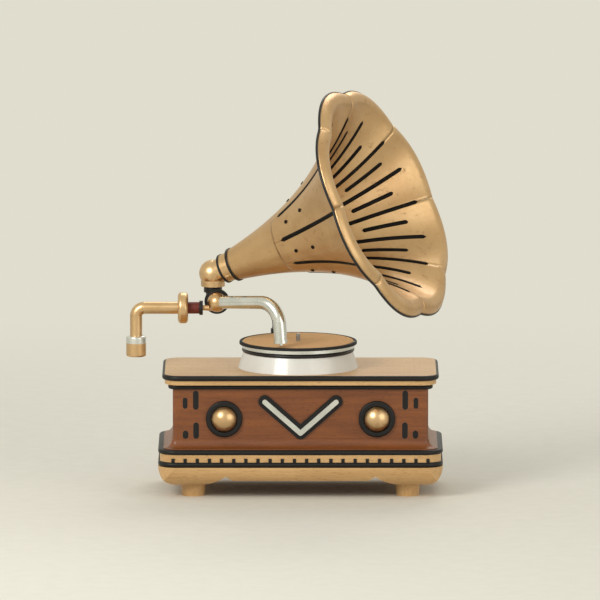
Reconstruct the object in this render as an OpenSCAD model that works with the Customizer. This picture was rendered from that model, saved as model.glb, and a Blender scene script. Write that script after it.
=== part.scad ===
// Table phonograph with a petalled horn on a rear bracket.
// Millimetres, +Z up, front of the case towards -Y.
// The origin lies on the floor under the middle of the case.

/* [Case] */
// Width of the case body
body_w = 433; // [420:1:450]
// Depth of the case body
body_d = 190; // [186:1:200]
// Thickness of the case panels
panel_t = 12; // [9:0.5:14]
// Radius of the upright case corners
body_corner_r = 6; // [4:0.5:8]
// Height of the case panels
panel_h = 130; // [128:1:138]
// Thickness of the bottom board
bottom_t = 8; // [5:0.5:10]
// Side of the square corner blocks
block_side = 20; // [14:1:24]

/* [Plinth and feet] */
// Height of the feet
foot_h = 21; // [16:1:26]
// Radius of a foot at its top
foot_r = 21; // [17:0.5:23]
// Taper of a foot towards the floor
foot_taper = 1.5; // [0:0.25:4]
// Distance from a foot's axis to the middle of the case, across
foot_x = 182; // [176:1:184]
// Distance from a foot's axis to the middle of the case, in depth
foot_y = 64; // [58:1:66]
// Height of the plinth
plinth_h = 42.5; // [40:0.5:48]
// Reach of the plinth beyond the case body
plinth_out = 25; // [22:0.5:28]
// Radius of the plinth's rounded lower edge
plinth_round_r = 34; // [28:0.5:35]
// Rise of the apron above the plinth's lowest face
apron_rise = 10; // [8:0.5:15]
// Half width of the flat apron
apron_half = 115; // [105:1:120]
// Further rise of the notch beside the apron
notch_rise = 8; // [4:0.5:9]

/* [Mouldings] */
// Height of the dentil band
dentil_band_h = 12.5; // [11:0.5:14]
// Width of one dentil
dentil_w = 5.6; // [4:0.2:8]
// Height of one dentil
dentil_h = 6.5; // [4:0.5:9]
// Distance from one dentil to the next
dentil_pitch = 20.57; // [16:0.01:26]
// Height that a dentil stands out of its band
dentil_proud = 1.2; // [0.6:0.1:2]
// Height of the bead at the waist
waist_bead_h = 8; // [6:0.5:9]
// Height of the bead in the plinth
plinth_bead_h = 9; // [7:0.5:10]
// Height of the cove above the waist bead
cove_h = 16; // [12:0.5:17]
// Height of the bead under the top board
upper_bead_h = 7.5; // [5:0.5:9]

/* [Top board] */
// Overhang of the top board
board_out = 18; // [14:0.5:18]
// Thickness of the top board
board_t = 17; // [15:0.5:20]
// Height of the bead in the board's edge
board_bead_h = 9; // [7:0.5:10]
// Corner radius of the top board
board_corner_r = 30; // [22:1:40]

/* [Front ornament] */
// Distance from a knob's axis to the middle
knob_x = 129.4; // [124:0.2:134]
// Height of the knob axes over the floor
knob_z = 135; // [132:0.5:138]
// Radius of a knob
knob_r = 22.4; // [18:0.2:23]
// Height of a knob's dome
knob_dome_h = 15; // [10:0.5:18]
// Outer radius of the ring round a knob
bezel_r = 31; // [27:0.5:34]
// Radius of a knob's shaft
knob_shaft_r = 4; // [3:0.25:5]
// Half width of the chevron between its end points
chevron_half = 60.4; // [50:0.2:64]
// Height of the chevron's middle point
chevron_low = 111.5; // [111:0.5:116]
// Height of the chevron's end points
chevron_high = 164.7; // [158:0.5:170]
// Width of the chevron's bright bar
chevron_bar_w = 8.5; // [6:0.5:11]
// Width of the chevron's dark backing
chevron_back_w = 22; // [16:0.5:24]

/* [Platter] */
// Distance from the spindle to the middle of the case, across
spindle_x = -4; // [-6:0.5:0]
// Radius of the platter's edge ring
platter_r = 100; // [96:0.5:101]
// Height of the playing surface over the top board
platter_rise = 45.5; // [44:0.5:48]
// Radius of the felt
felt_r = 94; // [90:0.5:94.5]
// Thickness of the felt
felt_t = 2; // [1:0.25:3]
// Radius of the spindle's tip, where a record goes
spindle_tip_r = 3.6; // [3.2:0.1:3.8]
// Height of the spindle's tip over the felt
spindle_tip_h = 12; // [8:0.5:15]
// Radius of the shroud at its foot
shroud_foot_r = 102; // [100:0.5:104]
// Radius of the shroud at its top
shroud_top_r = 93; // [91:0.5:96]
// Height of the shroud
shroud_h = 27; // [24:0.5:28]
// Wall of the shroud
shroud_wall = 2; // [1.2:0.2:3]

/* [Motor] */
// Tooth module of the running gears
gear_module = 1.25; // [1.15:0.05:1.3]
// Tooth module of the winding gears
wind_module = 2; // [1.8:0.1:2.1]
// Thickness of the motor plates
plate_t = 3; // [2:0.25:4]
// Radius of the arbors
arbor_r = 4; // [3:0.25:4.5]
// Radius of the spring barrel
barrel_r = 36; // [30:0.5:38]
// Height of the spring barrel
barrel_h = 30; // [24:0.5:32]
// Radius of the motor pillars
pillar_r = 4; // [3:0.25:4.5]
// Radius of the circle that the governor weights fly on
governor_r = 14; // [12:0.5:17]

/* [Crank] */
// Length of the crank from axis to grip
crank_len = 92; // [70:1:96]
// Length of the crank's grip
grip_len = 52; // [40:1:60]
// Radius of the crank's grip
grip_r = 10; // [8:0.5:12]

/* [Tone arm] */
// Distance from the swivel axis to the middle of the case, across
swivel_x = -149; // [-150:0.5:-148]
// Distance from the swivel axis to the middle of the case, in depth
swivel_y = 28; // [26:0.5:30]
// Height of the tone arm's lift axis
hub_z = 321.6; // [318:0.5:326]
// Radius of the hub ball
hub_ball_r = 16.5; // [15:0.5:17.5]
// Outer radius of the tone-arm tube
tube_r = 11; // [9:0.25:12]
// Wall of the tone-arm tube
tube_wall = 1.5; // [1:0.1:2.5]
// Level reach of the tone arm from its hub to the needle
arm_reach = 137; // [132:0.2:140]
// Turn of the tone arm towards the front
arm_yaw = 37; // [34:0.5:40]
// Rise of the tone arm away from its hub
arm_rise = 4.9; // [3:0.1:7]
// Middle-line radius of the tone arm's bend
arm_bend_r = 37; // [30:0.5:42]

/* [Balance arm] */
// Radius of the balance arm
balance_rod_r = 10.4; // [8:0.2:11]
// Distance of the balance arm's upright leg from the middle
balance_x = -279.5; // [-286:0.5:-278]
// Radius of the collar disc
collar_r = 26.5; // [22:0.5:28]
// Radius of the balance weight
weight_r = 17; // [14:0.5:18]
// Height of the balance weight
weight_h = 35; // [28:0.5:38]

/* [Horn] */
// Height of the horn elbow's middle
elbow_z = 367; // [363:0.5:371]
// Radius of the elbow's rounded corner
elbow_r = 23.5; // [22:0.5:24]
// Upward tilt of the horn's axis
horn_tilt = 23.5; // [20:0.5:26]
// Turn of the horn's axis towards the front
horn_yaw = 23; // [15:0.5:35]
// Distance from the elbow to the foremost ring of the bell
horn_len = 345; // [325:1:360]
// Radius of the horn where it leaves its collar
horn_throat_r = 21; // [18:0.5:22]
// Radius of the bell at its foremost ring
horn_bell_r = 180; // [165:1:190]
// How fast the horn flares
horn_flare = 2.15; // [1.9:0.05:2.8]
// Thickness of the horn's sheet
horn_wall = 0.9; // [0.7:0.05:1.4]
// Number of petals
petal_n = 8; // [7:1:10]
// Depth of the scallops in the rim
petal_scallop = 11; // [6:0.5:16]
// Radius of the curled lip
lip_r = 18; // [12:0.5:20]

/* [Hidden] */
$fn = 64;

oak = "#C9A26B";
walnut = "#85522F";
ebony = "#2D2C2B";
nickel = "#D9DBD3";
enamel = "#EFEDE4";
fibre = "#6A2A1F";
brass = "#D0A765";
steel = "#8D9194";
felt_tan = "#C9A26B";

// Clearances: running fits, seats and open gaps
fit = 0.05;
seat = 0.3;
eps = 0.01;

// Heights of the case, from the floor up
z_plinth = foot_h;
z_panel = z_plinth + plinth_h;
z_dentil_top = z_panel + dentil_band_h;
z_waist_top = z_dentil_top + waist_bead_h;
z_cove_top = z_waist_top + cove_h;
z_board = z_panel + panel_h;
z_top = z_board + board_t;
z_floor_in = z_panel + bottom_t;
plinth_w = body_w + 2 * plinth_out;
plinth_d = body_d + 2 * plinth_out;
plinth_corner_r = body_corner_r + plinth_out;
board_w = body_w + 2 * board_out;
board_d = body_d + 2 * board_out;
inner_w = body_w - 2 * panel_t;
inner_d = body_d - 2 * panel_t;
front_y = -body_d / 2;
back_y = body_d / 2;

// Shared shapes

module rounded_rect(w, d, r) {
    square([w - 2 * r, d], center = true);
    square([w, d - 2 * r], center = true);
    for (x = [-1, 1], y = [-1, 1]) {
        translate([x * (w / 2 - r), y * (d / 2 - r)]) circle(r);
    }
}

// Carries an upright profile, x outwards, round a rectangle with round corners
module edge_band(w, d, r) {
    for (half = [0, 180]) rotate([0, 0, half]) {
        translate([w / 2 - r, -d / 2, 0]) rotate([90, 0, -90]) linear_extrude(w - 2 * r) children();
        rotate([0, 0, 90]) translate([d / 2 - r, -w / 2, 0]) rotate([90, 0, -90])
            linear_extrude(d - 2 * r) children();
        translate([w / 2 - r, d / 2 - r, 0]) rotate_extrude(angle = 90) translate([r, 0]) children();
        translate([r - w / 2, d / 2 - r, 0]) rotate([0, 0, 90])
            rotate_extrude(angle = 90) translate([r, 0]) children();
    }
}

// Half-round bead profile: a straight back at x, a round nose outwards
module bead_profile(x, z, h) {
    translate([x, z + h / 2]) intersection() {
        circle(h / 2);
        translate([0, -h / 2]) square([h / 2, h]);
    }
}

module slot_2d(w, h) {
    square([w, h - w], center = true);
    for (side = [-1, 1]) translate([0, side * (h - w) / 2]) circle(w / 2);
}

// A bar with round ends between two points
module stroke_2d(a, b, w) {
    run = norm(b - a);
    translate(a) rotate(atan2(b[1] - a[1], b[0] - a[0])) {
        translate([0, -w / 2]) square([run, w]);
        circle(w / 2);
        translate([run, 0]) circle(w / 2);
    }
}

// Turns a flat shape or a body that points up so that it points out of the front
module face_front(y) {
    translate([0, y, 0]) rotate([90, 0, 0]) children();
}

module ring(r_out, r_in, h) {
    difference() {
        cylinder(r = r_out, h = h);
        translate([0, 0, -1]) cylinder(r = r_in, h = h + 2);
    }
}

// Case

plinth_lobe_w = 52;
lobe_bead_reach = 4.5;
plinth_open_x = 155;
plinth_open_y = 80;

// Front or side outline of the plinth, with the rounded lower corners
module plinth_block_2d(half_w) {
    difference() {
        translate([-half_w, z_plinth]) square([2 * half_w, plinth_h]);
        for (side = [-1, 1]) translate([side * (half_w - plinth_round_r), z_plinth + plinth_round_r])
            difference() {
                translate([side > 0 ? 0 : -plinth_round_r - 1, -plinth_round_r - 1])
                    square([plinth_round_r + 1, plinth_round_r + 1]);
                circle(plinth_round_r);
            }
    }
}

lobe_x = apron_half + plinth_lobe_w + 12;
cusp_x = apron_half + 12;
lobe_rise = apron_rise + notch_rise;
lobe_run = lobe_x - cusp_x;
lobe_r = (lobe_run * lobe_run + lobe_rise * lobe_rise) / (2 * lobe_rise);

module plinth_front_2d() {
    difference() {
        plinth_block_2d(plinth_w / 2);
        difference() {
            translate([-lobe_x, z_plinth - 1]) square([2 * lobe_x, lobe_rise + 1]);
            for (side = [-1, 1]) translate([side * lobe_x, z_plinth + lobe_r]) circle(lobe_r, $fn = 200);
        }
    }
    z_apron = z_plinth + apron_rise;
    polygon([[-apron_half, z_apron], [apron_half, z_apron],
             [cusp_x, z_apron + notch_rise], [-cusp_x, z_apron + notch_rise]]);
}

side_arch_half = foot_y - foot_r - 8;

module plinth_side_2d() {
    difference() {
        plinth_block_2d(plinth_d / 2);
        translate([-side_arch_half, z_plinth - 1]) square([2 * side_arch_half, apron_rise + 1]);
    }
}

bead_seat = lobe_bead_reach;

module plinth() {
    color(oak) difference() {
        intersection() {
            translate([0, plinth_d / 2, 0]) rotate([90, 0, 0]) linear_extrude(plinth_d) plinth_front_2d();
            translate([-plinth_w / 2, 0, 0]) rotate([90, 0, 90]) linear_extrude(plinth_w) plinth_side_2d();
            translate([0, 0, z_plinth - 1]) linear_extrude(plinth_h + 2)
                rounded_rect(plinth_w, plinth_d, plinth_corner_r);
        }
        translate([-plinth_open_x, -plinth_open_y, z_plinth - 2])
            cube([2 * plinth_open_x, 2 * plinth_open_y, plinth_h + 4]);
        edge_band(body_w, body_d, body_corner_r)
            translate([plinth_out - bead_seat, z_panel - plinth_bead_h])
            square([bead_seat + 2, plinth_bead_h + 1]);
    }
}

module base_beads() {
    color(ebony) {
        edge_band(body_w, body_d, body_corner_r)
            bead_profile(plinth_out - bead_seat, z_panel - plinth_bead_h, plinth_bead_h);
        edge_band(body_w, body_d, body_corner_r) {
            translate([0, z_dentil_top]) square([waist_base, waist_bead_h]);
            bead_profile(waist_base, z_dentil_top, waist_bead_h);
        }
    }
}

module feet() {
    color(oak) for (x = [-1, 1], y = [-1, 1]) {
        translate([x * foot_x, y * foot_y, 0]) cylinder(h = foot_h, r1 = foot_r - foot_taper, r2 = foot_r);
    }
}

dentil_setback = 3;
dentil_out = plinth_out - dentil_setback;

module dentil_band() {
    color(oak) edge_band(body_w, body_d, body_corner_r)
        translate([0, z_panel]) square([dentil_out, dentil_band_h]);
}

function dentil_count(run) = floor((run - dentil_w) / dentil_pitch) + 1;

// A row of dentils along X, outwards towards -Y
module dentil_row(run) {
    n = dentil_count(run);
    for (i = [0:n - 1]) {
        translate([(i - (n - 1) / 2) * dentil_pitch - dentil_w / 2, -dentil_proud, z_panel])
            cube([dentil_w, dentil_proud, dentil_h]);
    }
}

module dentils() {
    color(ebony) {
        translate([0, front_y - dentil_out, 0]) dentil_row(body_w + dentil_w);
        translate([-body_w / 2 - dentil_out, 0, 0]) rotate([0, 0, -90]) dentil_row(body_d);
        translate([body_w / 2 + dentil_out, 0, 0]) rotate([0, 0, 90]) dentil_row(body_d);
    }
}

waist_base = plinth_out - waist_bead_h / 2;

cove_lip = 1.5;

module cove_moulding() {
    color(walnut) edge_band(body_w, body_d, body_corner_r) difference() {
        translate([0, z_waist_top]) square([cove_h, cove_h]);
        translate([cove_h, z_cove_top]) circle(cove_h - cove_lip);
    }
}

module case_prism() {
    translate([0, 0, z_panel]) linear_extrude(panel_h) rounded_rect(body_w, body_d, body_corner_r);
}

inlay_depth = 1.5;
inlay_proud = 0.4;
// Places of the inlays on the right half: middle across, foot, top, width
inlay_list = [
    [176.9, 101, 129, 9.5], [194.8, 101, 115, 9.5],
    [177.4, 150.7, 183.3, 9.5], [195.5, 152.4, 171.3, 8]
];

module inlay_solids(clear) {
    for (side = [-1, 1], slot = inlay_list) {
        translate([side * slot[0], 0, (slot[1] + slot[2]) / 2]) face_front(front_y + inlay_depth)
            linear_extrude(inlay_depth + (clear ? 1 : inlay_proud)) slot_2d(slot[3], slot[2] - slot[1]);
    }
}

module front_panel() {
    color(walnut) difference() {
        intersection() {
            case_prism();
            translate([-body_w, front_y, 0]) cube([2 * body_w, panel_t, z_top]);
        }
        inlay_solids(true);
        for (side = [-1, 1]) translate([side * knob_x, 0, knob_z]) face_front(front_y + panel_t + 1)
            cylinder(r = knob_shaft_r + fit, h = panel_t + 2);
    }
}

module back_panel() {
    color(walnut) difference() {
        intersection() {
            case_prism();
            translate([-body_w, back_y - panel_t, 0]) cube([2 * body_w, panel_t, z_top]);
        }
        translate([barrel_x, 0, crank_z]) face_front(back_y + 1) cylinder(r = bearing_r, h = panel_t + 2);
        bracket_screw_places() cylinder(r = screw_r, h = 2 * (panel_t - 1), center = true);
    }
}

module side_panel(side) {
    color(walnut) intersection() {
        case_prism();
        translate([side > 0 ? body_w / 2 - panel_t : -body_w / 2, front_y + panel_t, 0])
            cube([panel_t, inner_d, z_top]);
    }
}

module side_panels() {
    side_panel(-1);
    side_panel(1);
}

module bottom_board() {
    color(walnut) translate([-inner_w / 2, -inner_d / 2, z_panel]) cube([inner_w, inner_d, bottom_t]);
}

module corner_blocks() {
    color(oak) for (x = [-1, 1], y = [-1, 1]) {
        translate([x * (inner_w - block_side) / 2, y * (inner_d - block_side) / 2, z_floor_in])
            translate([-block_side / 2, -block_side / 2, 0])
            cube([block_side, block_side, z_board - z_floor_in]);
    }
}

upper_bead_base = 4;

board_round = board_t - board_bead_h;
board_bead_x = -board_bead_h / 2;
board_core_in = 16;

module board_profile() {
    translate([-board_core_in, z_board]) difference() {
        union() {
            square([board_core_in - board_round, board_t]);
            translate([0, board_round]) square([board_core_in + board_bead_x, board_bead_h]);
            translate([board_core_in - board_round, board_round]) intersection() {
                circle(board_round);
                translate([0, -board_round]) square([board_round + board_bead_x, board_round]);
            }
        }
    }
}

module top_board() {
    color(oak) difference() {
        union() {
            edge_band(board_w, board_d, board_corner_r) board_profile();
            translate([0, 0, z_board]) linear_extrude(board_t)
                rounded_rect(board_w - 2 * board_core_in, board_d - 2 * board_core_in,
                             board_corner_r - board_core_in);
        }
        translate([spindle_x, 0, z_board - 1]) cylinder(r = board_hole_r, h = board_t + 2);
        for (p = pillar_places) {
            translate([p[0], p[1], z_board - 1]) cylinder(r = bolt_r + fit, h = board_t + 2);
            translate([p[0], p[1], z_top - bolt_head_h]) cylinder(r = bolt_head_r + seat, h = board_t);
        }
    }
}

module top_beads() {
    color(ebony) {
        edge_band(board_w, board_d, board_corner_r)
            bead_profile(board_bead_x, z_top - board_bead_h, board_bead_h);
        edge_band(body_w, body_d, body_corner_r) {
            translate([0, z_board - upper_bead_h]) square([upper_bead_base, upper_bead_h]);
            bead_profile(upper_bead_base, z_board - upper_bead_h, upper_bead_h);
        }
    }
}

module inlays() {
    color(ebony) inlay_solids(false);
}

chevron_back_t = 3;
chevron_bar_t = 5;

module chevron_2d(w) {
    for (side = [-1, 1]) stroke_2d([side * chevron_half, chevron_high], [0, chevron_low], w);
}

module chevron_backing() {
    color(ebony) face_front(front_y) linear_extrude(chevron_back_t) chevron_2d(chevron_back_w);
}

module chevron_bar() {
    color(nickel) face_front(front_y - chevron_back_t)
        linear_extrude(chevron_bar_t) chevron_2d(chevron_bar_w);
}

bezel_h = 6;
bezel_round = 3;
knob_gap = 0.6;

module knob_bezels() {
    color(ebony) for (side = [-1, 1]) translate([side * knob_x, 0, knob_z]) face_front(front_y)
        rotate_extrude() {
            translate([knob_r + knob_gap, 0]) square([bezel_r - bezel_round - knob_r - knob_gap, bezel_h]);
            translate([knob_r + knob_gap, 0]) square([bezel_r - knob_r - knob_gap, bezel_h - bezel_round]);
            translate([bezel_r - bezel_round, bezel_h - bezel_round]) circle(bezel_round);
        }
}

knob_rim = 3;
dome_sphere_r = (knob_r * knob_r + knob_dome_h * knob_dome_h) / (2 * knob_dome_h);

// A domed knob with its shaft and an eccentric pin at the inner end
pin_disc_edge = 1.5;
pin_disc_t = 3;

module control_knob(side) {
    shaft_in = panel_t + knob_reach;
    color(brass) translate([side * knob_x, 0, knob_z]) face_front(front_y) {
        translate([0, 0, seat]) cylinder(r = knob_r, h = knob_rim);
        translate([0, 0, seat + knob_rim]) rotate_extrude() intersection() {
            translate([0, knob_dome_h - dome_sphere_r]) circle(dome_sphere_r, $fn = 128);
            square([knob_r, knob_dome_h]);
        }
        translate([0, 0, -shaft_in]) cylinder(r = knob_shaft_r, h = shaft_in + seat + 1);
        translate([0, knob_pin_up, -shaft_in - pin_len]) cylinder(r = knob_pin_r, h = pin_len + 1);
        translate([0, 0, -shaft_in]) cylinder(r = knob_pin_up + knob_pin_r + pin_disc_edge, h = pin_disc_t);
    }
}

module brake_knob() {
    control_knob(1);
}

module speed_knob() {
    control_knob(-1);
}

// Platter and shroud

z_play = z_top + platter_rise;
platter_t = 11;
platter_under = z_play - platter_t;
platter_rim_h = 5;
platter_ring_w = 4;
platter_side_r = platter_r - platter_ring_w;
hub_r = 14;
spindle_r = 5;
hub_low = z_top - board_t / 2;
hub_gap = 3;
board_hole_r = hub_r + hub_gap;

module shroud() {
    color(enamel) translate([spindle_x, 0, z_top]) rotate_extrude() polygon([
        [shroud_foot_r - shroud_wall, 0], [shroud_foot_r, 0],
        [shroud_top_r, shroud_h], [shroud_top_r - shroud_wall, shroud_h]
    ]);
}

shroud_bead_h = 6.5;

module shroud_bead() {
    color(ebony) translate([spindle_x, 0, z_top + shroud_h]) rotate_extrude() {
        translate([shroud_top_r - shroud_wall, 0]) square([shroud_wall, shroud_bead_h]);
        bead_profile(shroud_top_r - 0.5, 0, shroud_bead_h);
    }
}

platter_web = 4;

module platter() {
    color(nickel) translate([spindle_x, 0, 0]) difference() {
        rotate_extrude() {
            translate([0, hub_low]) square([hub_r, z_play - felt_t - hub_low]);
            translate([0, z_play - felt_t - platter_web]) square([platter_side_r, platter_web]);
            translate([platter_side_r - platter_rim_h, platter_under])
                square([platter_rim_h, platter_t - felt_t]);
            translate([platter_side_r - platter_rim_h, platter_under + platter_rim_h])
                square([platter_r - 1 - platter_side_r + platter_rim_h, 1]);
        }
        translate([0, 0, hub_low - 1]) cylinder(r = spindle_r, h = z_play - hub_low);
    }
}

ring_round = 2;

module platter_ring() {
    color(ebony) translate([spindle_x, 0, 0]) rotate_extrude() {
        ring_foot = platter_under + platter_rim_h + 1;
        translate([platter_side_r, ring_foot]) square([platter_ring_w - ring_round, z_play - ring_foot]);
        translate([platter_r - ring_round, ring_foot]) square([ring_round, z_play - ring_foot - ring_round]);
        translate([platter_r - ring_round, z_play - ring_round]) circle(ring_round);
    }
}

module felt() {
    color(felt_tan) translate([spindle_x, 0, z_play - felt_t]) ring(felt_r, spindle_r + seat, felt_t);
}

module spindle() {
    color(steel) translate([spindle_x, 0, 0]) {
        translate([0, 0, z_plate_low + 1]) cylinder(r = spindle_r, h = z_play - z_plate_low - 1);
        translate([0, 0, z_play]) cylinder(r = spindle_tip_r, h = spindle_tip_h - spindle_tip_r);
        translate([0, 0, z_play + spindle_tip_h - spindle_tip_r]) intersection() {
            sphere(spindle_tip_r);
            cylinder(r = spindle_tip_r + 1, h = spindle_tip_r + 1);
        }
        translate([0, 0, z_spindle_gear]) wheel_gear(wheel_n, gear_t, spindle_r, 0);
        translate([0, 0, z_wheel - 1]) pinion_gear(pinion_n, gear_t + 2, 0);
        translate([0, 0, z_drum]) cylinder(r = drum_r, h = drum_h);
    }
}

// Motor

motor_drop = 9;
z_plate_top = z_board - motor_drop - plate_t;
motor_h = 84;
z_plate_low = z_plate_top - motor_h - plate_t;
gear_t = 4;
wheel_n = 60;
pinion_n = 12;
barrel_n = 72;
drum_r = 16;
drum_h = 6;
barrel_clear = 7;
z_barrel = z_plate_low + plate_t + barrel_clear;
z_barrel_gear = z_barrel + barrel_h;
wheel_step = 12;
spindle_step = 16;
drum_step = 7;
z_wheel = z_barrel_gear + wheel_step;
z_spindle_gear = z_wheel + spindle_step;
z_drum = z_spindle_gear + drum_step;
mesh_gap = 0.15;
wheel_dist = gear_module * (wheel_n + pinion_n) / 2 + mesh_gap;
barrel_dist = gear_module * (barrel_n + pinion_n) / 2 + mesh_gap;
inter_angle = -27;
barrel_angle = 23;
governor_angle = 150;
inter_x = spindle_x + wheel_dist * cos(inter_angle);
inter_y = wheel_dist * sin(inter_angle);
barrel_x = inter_x + barrel_dist * cos(barrel_angle);
barrel_y = inter_y + barrel_dist * sin(barrel_angle);
governor_x = spindle_x + wheel_dist * cos(governor_angle);
governor_y = wheel_dist * sin(governor_angle);
pillar_places = [[62, 57], [62, -57], [-60, 57], [-60, -57]];
bolt_r = 2.5;
spacer_extra = 3;
bolt_head_r = 5;
bolt_head_h = 3;

// Involute angle in degrees at radius r over base radius rb
function involute(r, rb) = sqrt(pow(r / rb, 2) - 1) * 180 / PI - acos(rb / r);

pressure_angle = 20;
tooth_play = 0.2;
flank_steps = 3;

// Outline of an involute gear; turn puts a tooth at that angle
tooth_top = 0.85;
tooth_root = 1.2;
root_share = 0.8;

module gear_2d(n, m, turn) {
    r_pitch = m * n / 2;
    rb = r_pitch * cos(pressure_angle);
    r_tip = r_pitch + tooth_top * m;
    r_root = r_pitch - tooth_root * m;
    r_low = max(rb, r_root) + eps;
    half = 90 / n - tooth_play / r_pitch * 90 / PI;
    flank = [for (k = [0:flank_steps]) let (r = r_low + (r_tip - r_low) * k / flank_steps)
        [r, half + involute(r_pitch, rb) - involute(r, rb)]];
    root = [r_root, min(flank[0][1], 180 / n * root_share)];
    side = concat([root], flank);
    polygon([for (i = [0:n - 1], q = concat([for (p = side) [p[0], -p[1]]],
                                           [for (k = [len(side) - 1:-1:0]) side[k]]))
        let (a = turn + i * 360 / n + q[1]) [q[0] * cos(a), q[0] * sin(a)]]);
}

// Turn of gear b that meshes with gear a, where angle points from a to b
function mesh_turn(angle, n_a, turn_a, n_b) =
    angle + 180 - (0.5 - (angle - turn_a) * n_a / 360) * 360 / n_b;

wheel_rim = 6;
wheel_spoke = 5;

// A spoked wheel with teeth, on its arbor
module wheel_gear(n, t, bore, turn) {
    r_in = gear_module * n / 2 - wheel_rim;
    linear_extrude(t) {
        difference() {
            gear_2d(n, gear_module, turn);
            circle(r_in);
        }
        difference() {
            circle(bore + wheel_spoke);
            circle(bore);
        }
        difference() {
            for (a = [0:72:288]) rotate(a) translate([0, -wheel_spoke / 2]) square([r_in + 1, wheel_spoke]);
            circle(bore + 1);
        }
    }
}

module pinion_gear(n, t, turn) {
    linear_extrude(t) gear_2d(n, gear_module, turn);
}

plate_x_low = -102;
plate_x_high = 112;
plate_half_d = 64;
bush_r = 8;
lever_r = 4;
brake_x = 98;
brake_y = -50;
speed_x = -90;
speed_y = -45;
// Places of the bearing bushes: across, in depth, radius of what turns in them
bush_places = [
    [spindle_x, 0, spindle_r], [inter_x, inter_y, arbor_r], [barrel_x, barrel_y, arbor_r],
    [governor_x, governor_y, arbor_r], [brake_x, brake_y, lever_r], [speed_x, speed_y, lever_r]
];

module motor_plates() {
    color(steel) for (z = [z_plate_low, z_plate_top]) translate([0, 0, z]) difference() {
        translate([plate_x_low, -plate_half_d, 0])
            cube([plate_x_high - plate_x_low, 2 * plate_half_d, plate_t]);
        for (b = bush_places) translate([b[0], b[1], -1]) cylinder(r = bush_r, h = plate_t + 2);
        for (p = pillar_places) translate([p[0], p[1], -1]) cylinder(r = bolt_r, h = plate_t + 2);
    }
}

bush_extra = 1.5;

module plate_bushes() {
    color(brass) for (b = bush_places, z = [z_plate_low - bush_extra, z_plate_top])
        translate([b[0], b[1], z]) ring(bush_r, b[2] + fit, plate_t + bush_extra);
}

module motor_pillars() {
    color(steel) for (p = pillar_places) translate([p[0], p[1], 0]) {
        translate([0, 0, z_plate_low + plate_t])
            ring(pillar_r, bolt_r, z_plate_top - z_plate_low - plate_t);
        translate([0, 0, z_plate_top + plate_t])
            ring(pillar_r + spacer_extra, bolt_r, z_board - z_plate_top - plate_t);
    }
}

module fixing_screws() {
    bracket_screws();
    color(steel) for (p = pillar_places) translate([p[0], p[1], 0]) {
        translate([0, 0, z_plate_low - bolt_head_h]) cylinder(r = bolt_head_r, h = bolt_head_h, $fn = 6);
        translate([0, 0, z_plate_low - 1]) cylinder(r = bolt_r, h = z_top - z_plate_low - 1);
        translate([0, 0, z_top - bolt_head_h]) cylinder(r = bolt_head_r, h = bolt_head_h - seat);
    }
}

module arbor(h_extra) {
    translate([0, 0, z_plate_low]) cylinder(r = arbor_r, h = z_plate_top + plate_t - z_plate_low + h_extra);
}

module intermediate_gears() {
    color(brass) translate([inter_x, inter_y, 0]) {
        arbor(0);
        translate([0, 0, z_wheel])
            wheel_gear(wheel_n, gear_t, arbor_r, mesh_turn(inter_angle, pinion_n, 0, wheel_n));
        translate([0, 0, z_barrel_gear - 1]) pinion_gear(pinion_n, gear_t + 2, 0);
    }
}

barrel_wall = 2;

module spring_barrel() {
    color(steel) translate([barrel_x, barrel_y, z_barrel]) {
        ring(barrel_r, barrel_r - barrel_wall, barrel_h);
        ring(barrel_r - 1, arbor_r + fit, barrel_wall);
        translate([0, 0, barrel_h]) linear_extrude(gear_t) difference() {
            gear_2d(barrel_n, gear_module, mesh_turn(barrel_angle, pinion_n, 0, barrel_n));
            circle(arbor_r + fit);
        }
    }
}

core_r = 9;

core_gap = 4;

module mainspring() {
    color(steel) translate([barrel_x, barrel_y, z_barrel + barrel_wall + seat])
        ring(barrel_r - barrel_wall - seat, core_r + core_gap, barrel_h - barrel_wall - 2 * seat);
}

crown_n = 24;
crank_n = 12;
crown_r = wind_module * crown_n / 2;
crank_pitch_r = wind_module * crank_n / 2;
crown_half_w = 3.5;
crown_tooth_h = 5;
crown_disc_t = 4;
crown_drop = 2;
z_crown_disc = z_plate_top - crown_drop - crown_disc_t;
crown_tooth_w = 1.9;
crank_z = z_crown_disc - crown_tooth_h / 2 - crank_pitch_r;
crank_shaft_r = 5;

module winding_arbor() {
    color(steel) translate([barrel_x, barrel_y, 0]) {
        arbor(0);
        translate([0, 0, z_barrel + barrel_wall + seat])
            cylinder(r = core_r, h = barrel_h - barrel_wall - 2 * seat);
        translate([0, 0, z_crown_disc]) cylinder(r = crown_r + crown_half_w, h = crown_disc_t);
        for (i = [0:crown_n - 1]) rotate([0, 0, 90 + (i + 0.5) * 360 / crown_n])
            translate([crown_r - crown_half_w, -crown_tooth_w / 2, z_crown_disc - crown_tooth_h])
            cube([2 * crown_half_w, crown_tooth_w, crown_tooth_h + 1]);
    }
}

crank_tooth_tip = 1.2;
crank_tooth_foot = 2.3;
crank_tip_cut = 1.1;
crank_root_cut = 0.4;
crank_clear = 3;
crank_plane = back_y + plinth_out + crank_clear;
crank_hub_h = 10;
crank_hub_r = 10;
crank_bar_r = 5;

// Outline of the crank pinion: tapered teeth on a plain core, one tooth upright
module crank_pinion_2d() {
    core = crank_pitch_r - crown_tooth_h / 2 - crank_root_cut;
    tip = crank_pitch_r + crown_tooth_h / 2 - crank_tip_cut;
    circle(core);
    for (i = [0:crank_n - 1]) rotate(90 + i * 360 / crank_n) polygon([
        [core - 1, -crank_tooth_foot / 2], [tip, -crank_tooth_tip / 2],
        [tip, crank_tooth_tip / 2], [core - 1, crank_tooth_foot / 2]
    ]);
}

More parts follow.
